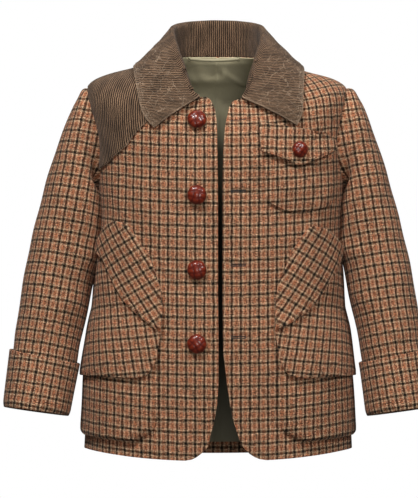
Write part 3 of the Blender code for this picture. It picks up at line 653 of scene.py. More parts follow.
sleeves = {
    "seamGap": 0.7,
    "tuck": 2.5,
    "tuckDepth": 2.6,
    "tuckPlace": -0.12,
    "clear": 1.2,
    "clearFrom": -130,
    "rows": 120,
    "square": 0.9,
    "cuffTop": 8.86,
    "cuffWall": 2.4,
    "cuffRows": 30,
    "cuffFlare": 1.2,
    "cuffStandOff": 0.5,
    "cuffTurnIn": 1.6,
    "cuffFolds": 0.35,  # share of the sleeve's folds that reaches the cuff
    "softness": 0.7,
    "footTilt": 3.0,
    "checkFrom": 400,  # at what height of the body's check the sleeve's and the cuff's begin
    "cuffCheckFrom": 145,
    "halfWidth": 35,
    "halfDepth": 47,
    "cuts": {"sleeve": (0.37, 0.40), "cuff": (0.29, 0.085)},
    # innerX, innerZ, outerX, outerZ, half depth, forward
    "right": (
        (143.5, -160, 166, -51, 50, 1), (137, -164, 182, -88, 51, 2), (133, -171, 196.5, -130, 51, 4),
        (132, -188, 207, -168, 50, 6), (134, -216, 216.2, -204, 48, 9), (142.5, -251, 224, -239, 46.5, 12),
        (151.5, -293, 231, -279, 45, 17), (160.8, -335, 237, -321, 43.5, 22), (166.5, -366, 240.8, -350, 42.5, 27),
        (176, -421, 248.5, -411, 42, 38),
    ),
    "left": (
        (151.5, -160, 168, -52, 50, 1), (145, -164, 183, -88, 51, 2), (142, -171, 196.5, -129, 51, 4),
        (140.5, -188, 206.5, -165, 50, 6), (141, -216, 216.2, -203, 48, 9), (147.5, -251, 224.4, -239, 46.5, 12),
        (155.5, -291, 231.5, -278, 45, 17), (164.9, -334, 237.2, -320, 43.5, 22), (169.5, -365, 241.3, -349, 42.5, 27),
        (176, -421, 249, -411, 42, 38),
    ),
    # soft folds: side, place along, angle from the underarm, spread, width, height, slope
    "folds": (
        (-1, 5.6, 35, 50, 0.32, 2.4, 0.006), (-1, 7.0, 60, 45, 0.28, 1.8, 0.006),
        (1, 5.4, 40, 50, 0.32, 2.4, 0.006), (1, 6.9, 50, 45, 0.28, 1.8, 0.006),
        (-1, 4.6, 60, 60, 0.4, 1.6, -0.012), (1, 4.5, 60, 60, 0.4, 1.6, -0.012),
        (-1, 6.2, 110, 55, 0.5, 1.3, 0.01), (1, 6.3, 110, 55, 0.5, 1.3, 0.01),
        (-1, 8.0, 80, 60, 0.35, 1.1, -0.006), (1, 8.1, 90, 60, 0.35, 1.1, -0.006),
    ),
}


def sleeveRings(side):
    count = 2 * body["armSteps"]
    armed = (armRows > upUnderarm) & (armRows < upTip)
    edges = [np.where(armed, armholeAcross(side, armRows, rear), seamAcross(side, armRows)) for rear in (False, True)]
    rings = []
    for tuck, depth in ((sleeves["tuck"], sleeves["tuckDepth"]), (0, 0)):  # under the panels, then at their edge
        ups, aside = armRows - tuck * np.cos(armTurns), tuck * np.sin(armTurns)
        front, rear = onBody(side, edges[0] - aside, ups, -depth), onBody(side, edges[1] + aside, ups, -depth)
        rings.append(np.concatenate((front, rear[-2:0:-1])) + np.array((side * sleeves["seamGap"] * (tuck == 0), 0, 0)))
    angle = 2 * math.pi * np.arange(count) / count
    wide, deep = (np.sign(v) * abs(v) ** sleeves["square"] for v in (np.cos(angle), np.sin(angle)))
    rows = sleeves["left" if side > 0 else "right"]
    for number, (innerX, innerZ, outerX, outerZ, halfDepth, forward) in enumerate(rows):
        inner, outer = np.array((side * innerX, -forward, innerZ)), np.array((side * outerX, -forward, outerZ))
        ring = (inner + outer) / 2 + (inner - outer) / 2 * wide[:, None]
        ring[:, 1] -= halfDepth * deep
        if number >= len(rows) - 2:  # the hand end hangs a little lower at the back
            ring[:, 2] += sleeves["footTilt"] * (number - len(rows) + 2) * (deep - 0.3)
        rings.append(ring)
    return np.array(rings)


def sleeveNet(side, rings, alongs, lift, folds=1.0):
    places = np.arange(-1.0, len(rings) - 1)
    places[0] = sleeves["tuckPlace"]
    net = smoothCurve(places, rings, alongs)
    ahead = np.roll(net, -1, axis=1) - np.roll(net, 1, axis=1)
    down = smoothCurve(places, rings, np.minimum(alongs + 0.05, places[-1]))
    down = down - smoothCurve(places, rings, np.maximum(alongs - 0.05, places[0]))
    normal = unit(np.cross(ahead, down) * side)
    centre = net.mean(axis=1, keepdims=True)
    normal *= np.sign(((net - centre) * normal).sum(axis=2).mean(axis=1))[:, None, None]
    turns = 360 * np.arange(net.shape[1]) / net.shape[1]
    height = np.zeros(net.shape[:2]) + np.reshape(lift, (-1, 1))
    for foldSide, place, angle, spread, width, rise, slope in sleeves["folds"]:
        if foldSide == side:
            turn = (turns - angle + 180) % 360 - 180
            reach = np.where(abs(turn) < spread, np.cos(math.pi / 2 * turn / spread) ** 2, 0)
            offset = alongs[:, None] - place - slope * turn[None, :]
            height = height + folds * rise * reach[None, :] * bell(offset, width)
    radian = np.radians(turns)[None, :]
    soft = np.sin(2 * radian + alongs[:, None] * 1.7 + side) * np.sin(alongs[:, None] * 2.3 - radian)
    height = height + folds * sleeves["softness"] * soft * np.clip(alongs[:, None] / 2, 0, 1)
    net = net + normal * height[..., None]
    for line in net[alongs > 0.5]:
        for number in np.nonzero(line[:, 2] < sleeves["clearFrom"])[0]:
            line[number] = holdClear(line[number], sleeves["clear"])
    net = np.concatenate((net, net[:, :1]), axis=1)
    return net, sleeveMarks(side, rings, net)


def sleeveMarks(side, rings, net):
    # where the check lies: round from the outer line, and down along the arm
    middles = rings[4:].mean(axis=1)
    down = middles[-1] - middles[0]
    length = np.linalg.norm(down)
    down = down / length
    aside = np.array((down[2], 0, -down[0])) * -side
    fore = np.cross(aside, down)
    fall = (net - middles[0]) @ down
    bend = np.interp(fall, (middles - middles[0]) @ down, (middles - middles[0]) @ fore)
    offset = net - middles[0]
    x, y = (offset @ aside) / sleeves["halfWidth"], (offset @ fore - bend) / sleeves["halfDepth"]
    turn = np.arctan2(y, x)
    turn = np.unwrap(turn, axis=1)
    turn -= 2 * math.pi * np.round(turn[:, turn.shape[1] // 2] / (2 * math.pi))[:, None]
    fine = np.linspace(-2 * math.pi, 2 * math.pi, 2001)
    steps = np.hypot(sleeves["halfWidth"] * np.sin(fine), sleeves["halfDepth"] * np.cos(fine))
    arc = np.concatenate(([0], np.cumsum((steps[1:] + steps[:-1]) / 2 * np.diff(fine))))
    around = np.interp(turn, fine, arc - arc[1000])
    return np.stack((side * around, -fall), axis=2)


for side, label in ((-1, "right"), (1, "left")):
    rings = sleeveRings(side)
    last = len(rings) - 2
    alongs = np.concatenate(((sleeves["tuckPlace"], -0.08, -0.04), np.linspace(0, last - 0.02, sleeves["rows"])))
    points, marks = sleeveNet(side, rings, alongs, dip(alongs, 0.8, 0.12))
    marks[..., 1] += sleeves["checkFrom"]
    cut = sleeves["cuts"]["sleeve"]
    clothSheet("sleeve_" + label, points, marks, panels["wall"], cut, tweed, lining, closed=True, flip=side > 0)
    shares = np.linspace(0, 1, sleeves["cuffRows"])
    alongs = sleeves["cuffTop"] + (last - sleeves["cuffTop"]) * shares
    lift = sleeves["cuffStandOff"] + sleeves["cuffWall"] + sleeves["cuffFlare"] * (1 - shares)
    lift -= sleeves["cuffTurnIn"] * np.clip(shares * 8 - 7, 0, 1) ** 2  # its lower edge turns in
    points, marks = sleeveNet(side, rings, alongs, lift, sleeves["cuffFolds"])
    marks[..., 1] += sleeves["cuffCheckFrom"]
    cut = sleeves["cuts"]["cuff"]
    clothSheet("cuff_" + label, points, marks, sleeves["cuffWall"], cut, tweed, closed=True, flip=side > 0)
print("stage: sleeves and cuffs")

# Collar: a stand rising from the neck seam, a roll and a fall lying on the shoulders

collar = {
    "wall": 2.4,
    "seamGap": 0.6,
    "lift": 5.8,
    "leanLow": 0.3,
    "startRight": 22,
    "startLeft": 29,
    "steps": 90,
    "places": 84,
    "measuredLine": 20,  # the line down the collar along which its length is measured
    "easing": 6,
    "creaseHeight": 0.35,
    "rollHeight": 0.3,
    "sewnLine": (4.2, 0.5, 0.9),  # from the edge, depth and width of the groove its stitches pull
    "edgeWear": (1.2, 1.6),
    "creaseWear": 0.5,
    "cut": (0.43, 0.13),
    # seam, stand, lean, roll, edgeX, edgeY, edgeZ
    "right": (
        (0.0, 2.5, 3.0, 3.4, 72, -78, -89), (0.10, 7.5, 2.8, 3.8, 83, -74, -77), (0.22, 16.0, 2.0, 4.2, 91, -62, -58),
        (0.35, 24.0, 1.0, 4.5, 96, -38, -30), (0.52, 33.0, 0.0, 4.8, 97, -4, -5), (0.70, 40.0, 0.0, 5.0, 80, 42, -3),
        (0.85, 43.0, 0.5, 5.0, 47, 66, -8), (1.0, 44.0, 1.0, 5.0, 0, 74, -11),
    ),
    "left": (
        (0.0, 2.5, 3.0, 3.4, 89, -74, -86), (0.10, 7.5, 2.8, 3.8, 95, -66, -72), (0.22, 16.0, 2.0, 4.2, 98, -54, -50),
        (0.35, 24.0, 1.0, 4.5, 99, -32, -27), (0.52, 33.0, 0.0, 4.8, 96, -4, -5), (0.70, 40.0, 0.0, 5.0, 80, 42, -3),
        (0.85, 43.0, 0.5, 5.0, 47, 66, -8), (1.0, 44.0, 1.0, 5.0, 0, 74, -11),
    ),
    "waleSlope": 0.75,
}


def collarSection(side, seam, places):
    values = np.array(collar["left" if side > 0 else "right"], dtype=float)
    _, stand, lean, roll, edgeX, edgeY, edgeZ = smoothCurve(values[:, 0], values, seam)[0]
    first = collar["startLeft"] if side > 0 else collar["startRight"]
    across = first + (wholeAcross(side, upNeck) - first) * seam
    top = upNeck - neckDrop(side, across, upNeck)
    foot = spotOn(side, across, top, 0, 0) + np.array((0, 0, collar["seamGap"]))
    along = spotOn(side, across + 1, top, 0, 0) - spotOn(side, across - 1, top, 0, 0)
    out = np.array((along[1], -along[0], 0.0))
    out = unit(out if out[:2] @ foot[:2] >= 0 else -out)
    upward = np.array((0, 0, 1.0))
    rise = stand - roll
    crest = foot + out * lean + upward * rise
    edge = holdClear(np.array((side * edgeX, edgeY, edgeZ)), collar["lift"], True)
    turned = crest + out * 2 * roll
    middle = holdClear((turned + edge) / 2, collar["lift"])
    controls = np.array((
        foot, foot + out * lean * collar["leanLow"] + upward * rise / 2, crest,
        crest + (out + upward) * roll, turned, middle, edge,
    ))
    line = smoothCurve(np.arange(7), controls, places)
    return np.array([holdClear(p, collar["lift"]) if s > 4 else p for p, s in zip(line, places)])


places = np.linspace(0, 6, collar["places"])
seams = np.linspace(0, 1, collar["steps"] + 1)
halves = {side: np.array([collarSection(side, seam, places) for seam in seams]) for side in (-1, 1)}
points = np.concatenate((halves[-1][:-1], halves[1][::-1]))
for number in range(collar["easing"]):  # eases out the steps that holding clear leaves
    beside = points[2:, 1:-1] + points[:-2, 1:-1] + points[1:-1, 2:] + points[1:-1, :-2]
    points[1:-1, 1:-1] = beside / 4
alongSeam = lengthsOf(points)[:, [collar["measuredLine"]]]
alongSeam -= alongSeam[collar["steps"]]
down = lengthsOf(points, 1)
normals = unit(np.cross(np.gradient(points, axis=0), np.gradient(points, axis=1)))
toEdge = down[:, -1:] - down
toEnd = np.minimum(abs(alongSeam - alongSeam[0]), abs(alongSeam - alongSeam[-1]))
toEnd = toEnd * np.clip(down[:, -1:] / 40, 0.5, 2)
rimDistance = np.minimum(toEdge, toEnd)
fallen = np.clip((places - 4) / 0.6, 0, 1)[None, :]
crease = np.sin(down / 5.2 + alongSeam / 6.5) * np.sin(down / 9.0 - alongSeam / 8.0 + 1.0)
crease = crease + 0.5 * np.sin(down / 3.1 - alongSeam / 3.7)
ripple = np.sin(alongSeam / 4.3) * np.sin(down / 7.0)
height = collar["creaseHeight"] * crease * fallen + collar["rollHeight"] * ripple * (1 - fallen)
line, depth, width = collar["sewnLine"]
height = height + dip(rimDistance - line, depth, width) * fallen
points = points - normals * height[..., None]
wear = np.clip(-dip(rimDistance, *collar["edgeWear"]), 0, 1) * np.clip(places - 3, 0, 1)[None, :]
wear = wear + collar["creaseWear"] * np.clip(crease - 0.75, 0, 1) * fallen
# the cords slope towards the front, and are upright at the centre back
slope = collar["waleSlope"] * np.sign(alongSeam) * np.clip(abs(alongSeam) / 60, 0, 1) ** 2
pastRoll = np.maximum(down - down[:, [np.searchsorted(places, 4)]], 0)
marks = np.stack((alongSeam + slope * pastRoll, down), axis=2)
collarPoints, collarNormals = points, -normals
pressed = np.broadcast_to(fallen, wear.shape)
clothSheet("collar", points, marks, collar["wall"], collar["cut"], corduroy, flip=True, wear=wear, pressed=pressed)
print("stage: collar")

# Pockets, bands and the shoulder patch, laid on the fronts

pockets = {
    "wall": 1.8,
    "gap": 1.0,
    "rows": 72,
    "columns": 64,
    "edge": 0.13,
    "rimPlaces": (0.004, 0.01, 0.99, 0.996),  # lines close to each edge, which keep its rim crisp
    "bagStandOff": ((15, 3.4), (90, 2.9), (140, 0.6)),
    "flapStandOff": ((84, 7.4), (110, 5.6), (140, 3.0), (165, 0.0)),
    "chestStandOff": 2.6,
    "rim": (1.1, 2.2),  # how far and over what width a turned edge rolls down
    "stitchLine": (5.2, 0.55, 1.1),  # from the edge, depth and width of the groove
    "chestDish": 0.7,
    "flapFoot": 3.6,
    # each row runs across the cloth: start across, start up, end across, end up
    "bag": (
        (104, 17.6, 150, 15), (92, 20.5, 185, 16.5), (80, 28, 209, 20), (74.2, 34.1, 219, 25), (70.2, 47.4, 223, 37),
        (68.3, 65, 224, 58), (67.7, 98.8, 223, 92), (67.4, 138, 220, 136),
    ),
    "flap": (
        (96, 88, 222, 84), (87, 89.8, 225, 86), (80, 93, 226.5, 90), (75.4, 97.4, 227, 96), (70, 110, 226, 112),
        (66.6, 133.4, 221, 136), (64.8, 144, 205, 147), (68, 162, 196, 165), (88, 182, 192, 186), (108, 205, 186, 206),
        (124, 224, 175, 222), (142, 237, 160, 236),
    ),
    "bandRight": (
        (121, 266, 135.4, 263), (108, 264, 153, 247), (99.5, 257.8, 167, 233), (94.3, 247.4, 152, 226),
        (88, 240, 141.8, 220.5), (79.3, 228, 131.6, 206.3), (72, 208.8, 120, 187.2), (66, 192, 110, 175),
        (63.2, 172, 97, 163), (63.4, 158, 83, 153), (64.8, 146, 71, 144.5),
    ),
    "bandLeft": (
        (111, 261, 130, 257), (103, 258, 146, 246), (95, 247, 168, 233), (91, 241, 160, 223), (87, 236, 150, 211.7),
        (81, 223, 141, 203), (75, 209, 132, 193), (68, 194, 119, 178), (66, 178, 104, 163), (65, 162, 86, 152),
        (65, 147, 71, 144.5),
    ),
    "chest": (
        (86, 277, 101, 277), (72, 281, 121, 280.5), (58, 288, 139, 285), (54.5, 294, 143.5, 291), (53.8, 300, 146, 300),
        (53.6, 325, 147.5, 318), (53.6, 348, 143.5, 349), (54, 366, 142.5, 364),
    ),
    "chestFlap": (
        (90, 337, 99, 337), (70, 350, 120, 344), (50.5, 361, 144.5, 352), (49.5, 366, 145.5, 357),
        (48, 384, 143.5, 364), (47.4, 404, 136, 371), (47.4, 424, 118, 379),
    ),
    "cuts": {
        "bag": (0.16, 0.125), "flap": (0.165, 0.155), "band": (0.075, 0.125), "chest": (0.095, 0.09),
        "chestFlap": (0.098, 0.05),
    },
    "turns": {"bag": 0, "flap": -11, "band": -34, "chest": 0, "chestFlap": -4},
}


def laidNet(side, rows, lift, turn):
    table, ends = np.array(rows, dtype=float), np.array(pockets["rimPlaces"])
    places = lengthsOf(table.reshape(len(table), 2, 2).mean(axis=1))
    rises = np.unique(np.concatenate((np.linspace(0, 1, pockets["rows"]), ends)))[:, None]
    shares = np.unique(np.concatenate((np.linspace(0, 1, pockets["columns"] + 1), ends)))[None, :]
    startAcross, startUp, endAcross, endUp = (np.interp(rises * places[-1], places, table[:, k]) for k in range(4))
    across, up = startAcross + (endAcross - startAcross) * shares, startUp + (endUp - startUp) * shares
    width = np.hypot(endAcross - startAcross, endUp - startUp)
    toRim = np.minimum(np.minimum(shares, 1 - shares) * width, np.minimum(rises, 1 - rises) * places[-1])
    shares, rises = np.broadcast_arrays(shares, rises)
    line, depth, width = pockets["stitchLine"]
    turned = dip(toRim, *pockets["rim"]) + dip(toRim - line, depth, width)
    points, spots = onBody(side, across, up, lift(shares, rises, up) + turned), bodyMarks(side, across, up)
    if turn:
        x, y = np.moveaxis(spots - spots.reshape(-1, 2).mean(axis=0), 2, 0)
        sine, cosine = side * math.sin(math.radians(turn)), math.cos(math.radians(turn))
        spots = np.stack((x * cosine + y * sine, y * cosine - x * sine), axis=2)
    return points, spots


# How far each piece lies off the cloth under it

onCloth = pockets["gap"] + pockets["wall"]


def bagDish(shares, rises):
    inset = np.minimum(np.minimum(shares, 1 - shares), rises) / pockets["edge"]
    return np.sin(math.pi / 2 * np.clip(inset, 0, 1))


def chestDish(shares, rises):
    return np.sin(math.pi * shares) * np.sin(math.pi * np.minimum(rises / pockets["chestDish"], 1))


lifts = {
    "bag": lambda shares, rises, up: onCloth + straightCurve(pockets["bagStandOff"], up) * bagDish(shares, rises),
    "flap": lambda shares, rises, up: onCloth + straightCurve(pockets["flapStandOff"], up),
    "band": lambda shares, rises, up: 2 * onCloth + straightCurve(pockets["flapStandOff"], up),
    "chest": lambda shares, rises, up: onCloth + pockets["chestStandOff"] * chestDish(shares, rises),
    "chestFlap": lambda shares, rises, up: 2 * onCloth + pockets["flapFoot"] * np.clip(1 - rises * 1.8, 0, 1),
}

for node, side, kind, shape in (
    ("pocket_bag_right", -1, "bag", "bag"),
    ("pocket_flap_right", -1, "flap", "flap"),
    ("hand_warmer_band_right", -1, "band", "bandRight"),
    ("pocket_bag_left", 1, "bag", "bag"),
    ("pocket_flap_left", 1, "flap", "flap"),
    ("hand_warmer_band_left", 1, "band", "bandLeft"),
    ("chest_pocket", 1, "chest", "chest"),
    ("chest_flap", 1, "chestFlap", "chestFlap"),
):
    points, marks = laidNet(side, pockets[shape], lifts[kind], pockets["turns"][kind])
    clothSheet(node, points, marks, pockets["wall"], pockets["cuts"][kind], tweed, flip=side < 0)

patch = {
    "wall": 1.6,
    "gap": 1.1,
    "inset": 1.6,
    "columns": 54,
    "rows": 90,
    "cut": (0.075, 0.20),
    # lower edge, from the armhole to under the collar, as rows of (up, across)
    "edge": (
        (328, 151), (334, 138), (349.5, 121), (361, 108.7), (382, 98.3), (401.7, 87.3), (419, 79.8), (452, 69),
        (518, 52),
    ),
    "rim": (0.8, 2.0),
    "wear": (0.8, 1.2),
    "waleTurn": 8,
    "waleScale": 0.84,  # its cords are a little wider than the collar's
}
low, high = patch["edge"][0][0], patch["edge"][-1][0]
ups = np.unique(np.concatenate((np.linspace(low, high, patch["rows"]), [upTip])))[:, None]
start, end = straightCurve(patch["edge"], ups), outerEdge(-1, ups) - patch["inset"]
across = start + (end - start) * np.linspace(0, 1, patch["columns"] + 1)[None, :]
ups = np.broadcast_to(ups, across.shape)
lift = patch["gap"] + patch["wall"] + dip(across - start, *patch["rim"]) + dip(end - across, *patch["rim"])
points = onBody(-1, across, ups, lift)
marks = bodyMarks(-1, across, ups)
angle = math.radians(patch["waleTurn"])
marks = np.stack((marks[..., 0] * math.cos(angle) + marks[..., 1] * math.sin(angle), marks[..., 1]), axis=2)
marks *= patch["waleScale"]
wear = -dip(across - start, *patch["wear"])
clothSheet("shoulder_patch", points, marks, patch["wall"], patch["cut"], corduroy, flip=True, wear=wear)
print("stage: pockets and patch")

# Lining of the back and the hanging loop

insideBack = {
    "wall": 1.0,
    "gap": 1.4,
    "low": 13,
    "inset": 3,
    "neckRise": (1.3, 2.7, 4.0),
    "hang": (7, 478, 34),  # how far, at what level and over what height it hangs free below the neck
    "rows": 170,
    "columns": 150,
    "cut": (0.45, 0.535),
    # painted shade: how much of the lining's pale colour is kept, up the lining; the low values darken it where the
    # inside of the coat lies in shade
    "faded": ((0, 0.3), (70, 0.22), (120, 0.03), (345, 0.03), (385, 0.4), (412, 0.9), (532, 1.0)),  # up the lining
    # folds: across from the centre back, low, high, width, height, lean
    "folds": (
        (0, 0, 560, 1.6, 1.3, 0.0), (9, 440, 540, 6, 1.6, 0.1), (-22, 452, 540, 7, 1.7, -0.25),
        (-34, 445, 538, 6, 1.5, -0.2), (26, 400, 538, 6, 1.9, -0.5), (30, 300, 470, 10, 1.6, 0.3),
        (-18, 120, 330, 9, 1.6, 0.05), (16, 60, 300, 8, 1.4, 0.0),
    ),
}
ups = np.unique(np.concatenate((np.linspace(insideBack["low"], upNeck, insideBack["rows"]), armRows)))[:, None]
rows, rowMarks = [], []
free, middle, reach = insideBack["hang"]
for side, across, level, aside in backHalves(ups, insideBack["columns"], insideBack["inset"]):
    height = np.zeros(across.shape)
    for place, low, high, width, rise, lean in insideBack["folds"]:
        share = np.sin(math.pi * np.clip((level - low) / (high - low), 0, 1)) ** 2 if place else 1.0
        height = height + rise * share * bell(aside - place - lean * (level - (low + high) / 2), width)
    height = height + 0.8 * np.sin(aside / 13 + level / 31) * np.sin(level / 23 - aside / 37) + 0.8
    height = height + free * bell(level - middle, reach)
    rows.append(onBody(side, across, level, -panels["wall"] - insideBack["gap"] - height, 0))
    rowMarks.append(np.stack((aside, level), axis=2))
points, marks = np.concatenate(rows, axis=1), np.concatenate(rowMarks, axis=1)
points[-3:, :, 2] += np.array(insideBack["neckRise"])[:, None]
faded = straightCurve(insideBack["faded"], marks[..., 1])
clothSheet("back_lining", points, marks, insideBack["wall"], insideBack["cut"], lining, flip=True, faded=faded)


def neckWall(x):
    # the bare neck edge, so far from the centre back
    side = 1 if x >= 0 else -1
    return spotOn(side, wholeAcross(side, upNeck) - abs(x), upNeck, 0, 0)


loop = {
    "wall": 1.2,
    "span": (-35, 26),
    "low": -3,
    "height": 4.2,
    "depth": 5.5,
    "bow": 3.0,
    "crown": 1.2,
    "sag": 1.6,
    "rows": 7,
    "columns": 41,
    # painted shade: the loop's lining colour is darkened part of the way towards the deep colour
    "faded": 0.55,
    "cut": (0.062, 0.010),
}
shares = np.linspace(0, 1, loop["columns"])
x = loop["span"][0] + (loop["span"][1] - loop["span"][0]) * shares
wall = np.array([neckWall(each) for each in x])
rows = []
hanging = np.sin(math.pi * shares)
for level in np.linspace(0, 1, loop["rows"]):
    depth = loop["depth"] + loop["bow"] * hanging + loop["crown"] * math.sin(math.pi * level)
    up = loop["low"] + loop["height"] * level - loop["sag"] * hanging
    rows.append(np.stack((wall[:, 0], wall[:, 1] - depth, up), axis=1))
points = np.array(rows)
marks = np.stack(np.broadcast_arrays(np.arange(float(loop["rows"]))[:, None], x[None, :]), axis=2)
faded = np.full(points.shape[:2], loop["faded"])
clothSheet("hanger_loop", points, marks, loop["wall"], loop["cut"], lining, round=0.45, faded=faded)
print("stage: lining and loop")

# Plaited leather buttons

buttons = {
    "radius": 11.5,
    "chestRadius": 9.8,
    "height": 8.5,
    "across": 24.2,
    "ups": (444.5, 297.4, 211.4, 128.5),
    "lift": 0.8,
    "chestPlace": (93.4, 359),
    "profile": (
        (0, 1), (0.1, 0.995), (0.2, 0.985), (0.3, 0.965), (0.4, 0.935), (0.5, 0.895), (0.6, 0.845), (0.69, 0.785),
        (0.77, 0.715), (0.845, 0.625), (0.91, 0.53), (0.96, 0.42), (0.985, 0.31), (0.975, 0.2), (0.9, 0.09), (0.6, 0.0),
    ),
    "turns": (20, -12, 8, 35, -20),
    "strap": 0.62,  # a strap's width in radii
    "relief": 0.6,
}


def plait(x, y):
    # height and crown of crossed straps at a place on the button, in radii from its middle
    u, v = x / buttons["strap"], y / buttons["strap"]
    cellU, cellV = math.floor(u + 0.5), math.floor(v + 0.5)
    over = (cellU + cellV) % 2 == 0
    across = (u - cellU) if over else (v - cellV)
    along = (v - cellV) if over else (u - cellU)
    strap = math.cos(math.pi * across) ** 0.8 if abs(across) < 0.5 else 0.0
    return strap * (0.75 + 0.25 * math.cos(math.pi * along))


def footballButton(name, side, across, up, lift, radius, turn):
    shape = bmesh.new()
    crown = shape.verts.layers.float.new("crown")
    line = [shape.verts.new((r * radius * mm, 0, z * buttons["height"] * mm)) for r, z in buttons["profile"]]
    edges = [shape.edges.new(pair) for pair in zip(line, line[1:])]
    bmesh.ops.spin(
        shape, geom=line + edges, axis=(0, 0, 1), cent=(0, 0, 0), angle=2 * math.pi, steps=64, use_merge=True
    )
    bmesh.ops.remove_doubles(shape, verts=shape.verts, dist=0.00001)
    rim = [edge for edge in shape.edges if edge.is_boundary]
    bmesh.ops.holes_fill(shape, edges=rim, sides=0)
    bmesh.ops.recalc_face_normals(shape, faces=shape.faces)
    for vert in shape.verts:
        x, y, z = vert.co / (radius * mm)
        bulge = plait(x, y)
        vert[crown] = bulge
        if vert.co.z > 0.1 * buttons["height"] * mm:
            vert.co.z += (bulge - 0.7) * buttons["relief"] * mm
            vert.co.xy *= 1 + (bulge - 0.7) * 0.03
    place = spotOn(side, across, up, lift)
    normal = tableAt(side, "normals", np.array([float(across)]), np.array([float(up)]))[0]
    facing = Vector((0, 0, 1)).rotation_difference(Vector(normal)).to_matrix()
    bmesh.ops.rotate(shape, verts=shape.verts, cent=(0, 0, 0), matrix=Matrix.Rotation(math.radians(turn), 3, "Z"))
    bmesh.ops.rotate(shape, verts=shape.verts, cent=(0, 0, 0), matrix=facing)
    bmesh.ops.translate(shape, verts=shape.verts, vec=Vector(place.tolist()) * mm)
    piece = makePiece(name + "_leather", shape, leather)
    smooth = piece.modifiers.new("smooth", "SUBSURF")
    smooth.levels = smooth.render_levels = 1
    return wearOn(piece, name, name)


for number, up in enumerate(buttons["ups"], 1):
    turn = buttons["turns"][number - 1]
    footballButton(f"button_{number}", -1, buttons["across"], up, buttons["lift"], buttons["radius"], turn)
lift = 2 * onCloth + buttons["lift"]
footballButton("chest_button", 1, *buttons["chestPlace"], lift, buttons["chestRadius"], buttons["turns"][-1])
print("stage: buttons")

# Sewing: buttonholes, the collar's double row and the loop's tacks

sewing = {
    "holeAcross": (16, 31),
    "holeStitches": 18,
    "barStitches": 4,
    "threads": {"hole": 0.95, "bar": 0.9, "row": 0.55, "tack": 0.7},
    "collarRows": (3.4, 6.4),
    "collarStitch": 3.2,
    # a crossed box: start and end of each stitch, sideways and up
    "tack": ((-1.6, -3.6, 1.6, 1.2), (1.6, -3.6, -1.6, 1.2), (-1.8, -3.8, 1.8, -3.8), (-1.8, 1.4, 1.8, 1.4)),
}


def addStitch(shape, start, end, width):
    # one short rounded stitch from start to end, in millimetres
    start, end = Vector(start), Vector(end)
    length = (end - start).length
    made = bmesh.ops.create_icosphere(shape, subdivisions=1, radius=1.0)["verts"]
    bmesh.ops.scale(shape, verts=made, vec=(width / 2 * mm, width / 2 * mm, length / 2 * mm))
    turn = Vector((0, 0, 1)).rotation_difference(end - start).to_matrix()
    bmesh.ops.rotate(shape, verts=made, cent=(0, 0, 0), matrix=turn)
    bmesh.ops.translate(shape, verts=made, vec=(start + end) / 2 * mm)


holes = bmesh.new()
for up in body["holes"]:
    first, last = sewing["holeAcross"]
    for number in range(sewing["holeStitches"]):
        across = first + (last - first) * number / (sewing["holeStitches"] - 1)
        for way in (-1, 1):
            ends = spotOn(1, across, up + way * 0.2, 0.1), spotOn(1, across, up + way * 1.9, 0.25)
            addStitch(holes, *ends, sewing["threads"]["hole"])
    for end in (first - 0.6, last + 0.6):
        for level in up - 1.5 + np.arange(sewing["barStitches"]):
            ends = spotOn(1, end - 0.8, level, 0.3), spotOn(1, end + 0.8, level, 0.3)
            addStitch(holes, *ends, sewing["threads"]["bar"])
wearOn(makePiece("buttonhole_stitches", holes, darkThread), "front_left")

rowStitches = bmesh.new()
for distance in sewing["collarRows"]:
    # walks round the collar's free edge, this far in from it
    path = []
    for line, row in enumerate(down):
        target = row[-1] - distance
        index = int(np.clip(np.searchsorted(row, target) - 1, 0, len(row) - 2))
        part = (target - row[index]) / (row[index + 1] - row[index])
        if toEnd[line, 0] >= distance:
            point = collarPoints[line, index] * (1 - part) + collarPoints[line, index + 1] * part
            path.append(point + collarNormals[line, index] * 0.15)
    path = np.array(path)
    walked = lengthsOf(path)
    stitch = sewing["collarStitch"]
    for start in np.arange(0, walked[-1] - stitch, stitch):
        ends = [[np.interp(s, walked, path[:, k]) for k in range(3)] for s in (start, start + stitch * 0.72)]
        addStitch(rowStitches, *ends, sewing["threads"]["row"])
wearOn(makePiece("collar_stitches", rowStitches, paleThread), "collar")

tacks = bmesh.new()
for x in (loop["span"][0] + 1.5, loop["span"][1] - 1.5):
    y = neckWall(x)[1] - loop["depth"] - 0.7
    for startX, startZ, endX, endZ in sewing["tack"]:
        addStitch(tacks, (x + startX, y, startZ), (x + endX, y, endZ), sewing["threads"]["tack"])
wearOn(makePiece("loop_tacks", tacks, oliveThread), "hanger_loop")
print("stage: sewing")

# Floor and light

studio = {
    "floorZ": -0.60,
    "glow": (0.5, 1.05),  # how far out the floor fades into the backdrop
    "bounce": "#505050",  # what the paper throws back up at the coat
    "target": (0, 0, -0.22),
    "floorRadius": 14.0,
    "key": ((-0.9, -1.7, 2.5), 0.6, 84),  # place, size and power of each lamp
    "second": ((1.6, -1.8, 1.9), 0.6, 36),
    "front": ((0.2, -3.3, -0.1), 1.2, 22),
    "top": ((0.0, 0.9, 2.4), 2.0, 9),
    "worldLight": 0.13,
}

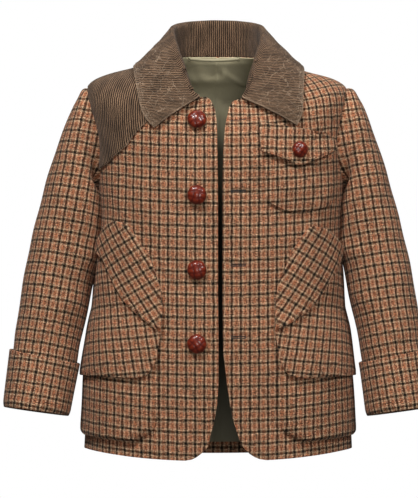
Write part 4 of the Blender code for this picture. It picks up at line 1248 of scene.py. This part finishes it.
ground = bmesh.new()
bmesh.ops.create_circle(ground, cap_ends=True, radius=studio["floorRadius"], segments=96)
bmesh.ops.translate(ground, verts=ground.verts, vec=(0, 0, studio["floorZ"]))
paper = newMaterial("pale matt paper", {"Roughness": 0.9, "Specular IOR Level": 0.1}, lambda node: {})
tree, node = paper.node_tree, partial(addNode, paper.node_tree)
shader = tree.nodes["Principled BSDF"]
place = node("TexCoord")
fibre = node("TexNoise", {"Vector": place.outputs["Object"], "Scale": 40.0, "Detail": 3.0})
tone = node("ValToRGB", {0: fibre}, stops=((0.3, "#F3F3F2"), (0.7, "#FAFAF9")))
seen = node("LightPath")
tone = node("Mix", {0: seen.outputs["Is Camera Ray"], 6: linear(studio["bounce"]), 7: tone}, data_type="RGBA")
tree.links.new(tone.outputs[2], shader.inputs["Base Color"])
far = node("VectorMath LENGTH", {0: place.outputs["Object"]})
near, clear = studio["glow"]
far = {0: far.outputs["Value"], "From Min": near, "From Max": clear}
far = node("MapRange", far, interpolation_type="SMOOTHSTEP")
glow = node("Emission", {"Color": linear("#FFFFFF"), "Strength": 1.0})
far = node("Math MULTIPLY", {0: far, 1: seen.outputs["Is Camera Ray"]})
fading = node("MixShader", {0: far, 1: shader, 2: glow})
tree.links.new(fading.outputs[0], tree.nodes["Material Output"].inputs["Surface"])
floor = makePiece("floor", ground, paper)

for name in ("key", "second", "front", "top"):
    place, size, power = studio[name]
    lamp = bpy.data.objects.new(name, bpy.data.lights.new(name, "AREA"))
    lamp.data.shape, lamp.data.size, lamp.data.energy = "DISK", size, power  # metres and watts
    lamp.location = place
    lamp.rotation_euler = (Vector(studio["target"]) - Vector(place)).to_track_quat("-Z", "Y").to_euler()
    bpy.context.scene.collection.objects.link(lamp)

world = bpy.data.worlds.new("studio")
bpy.context.scene.world = world
world.use_nodes = True
tree, node = world.node_tree, partial(addNode, world.node_tree)
sky = tree.nodes["Background"]
sky.inputs["Strength"].default_value = studio["worldLight"]
sky.inputs["Color"].default_value = linear("#FFFFFF")
backdrop = node("Background", {"Color": linear("#FFFFFF"), "Strength": 1.0})
ray = node("LightPath")
seen = node("MixShader", {0: ray.outputs["Is Camera Ray"], 1: sky, 2: backdrop})
tree.links.new(seen.outputs[0], tree.nodes["World Output"].inputs["Surface"])
bpy.context.scene.view_settings.view_transform = "Standard"
bpy.context.scene.view_settings.look = "None"
print("stage: floor and light")
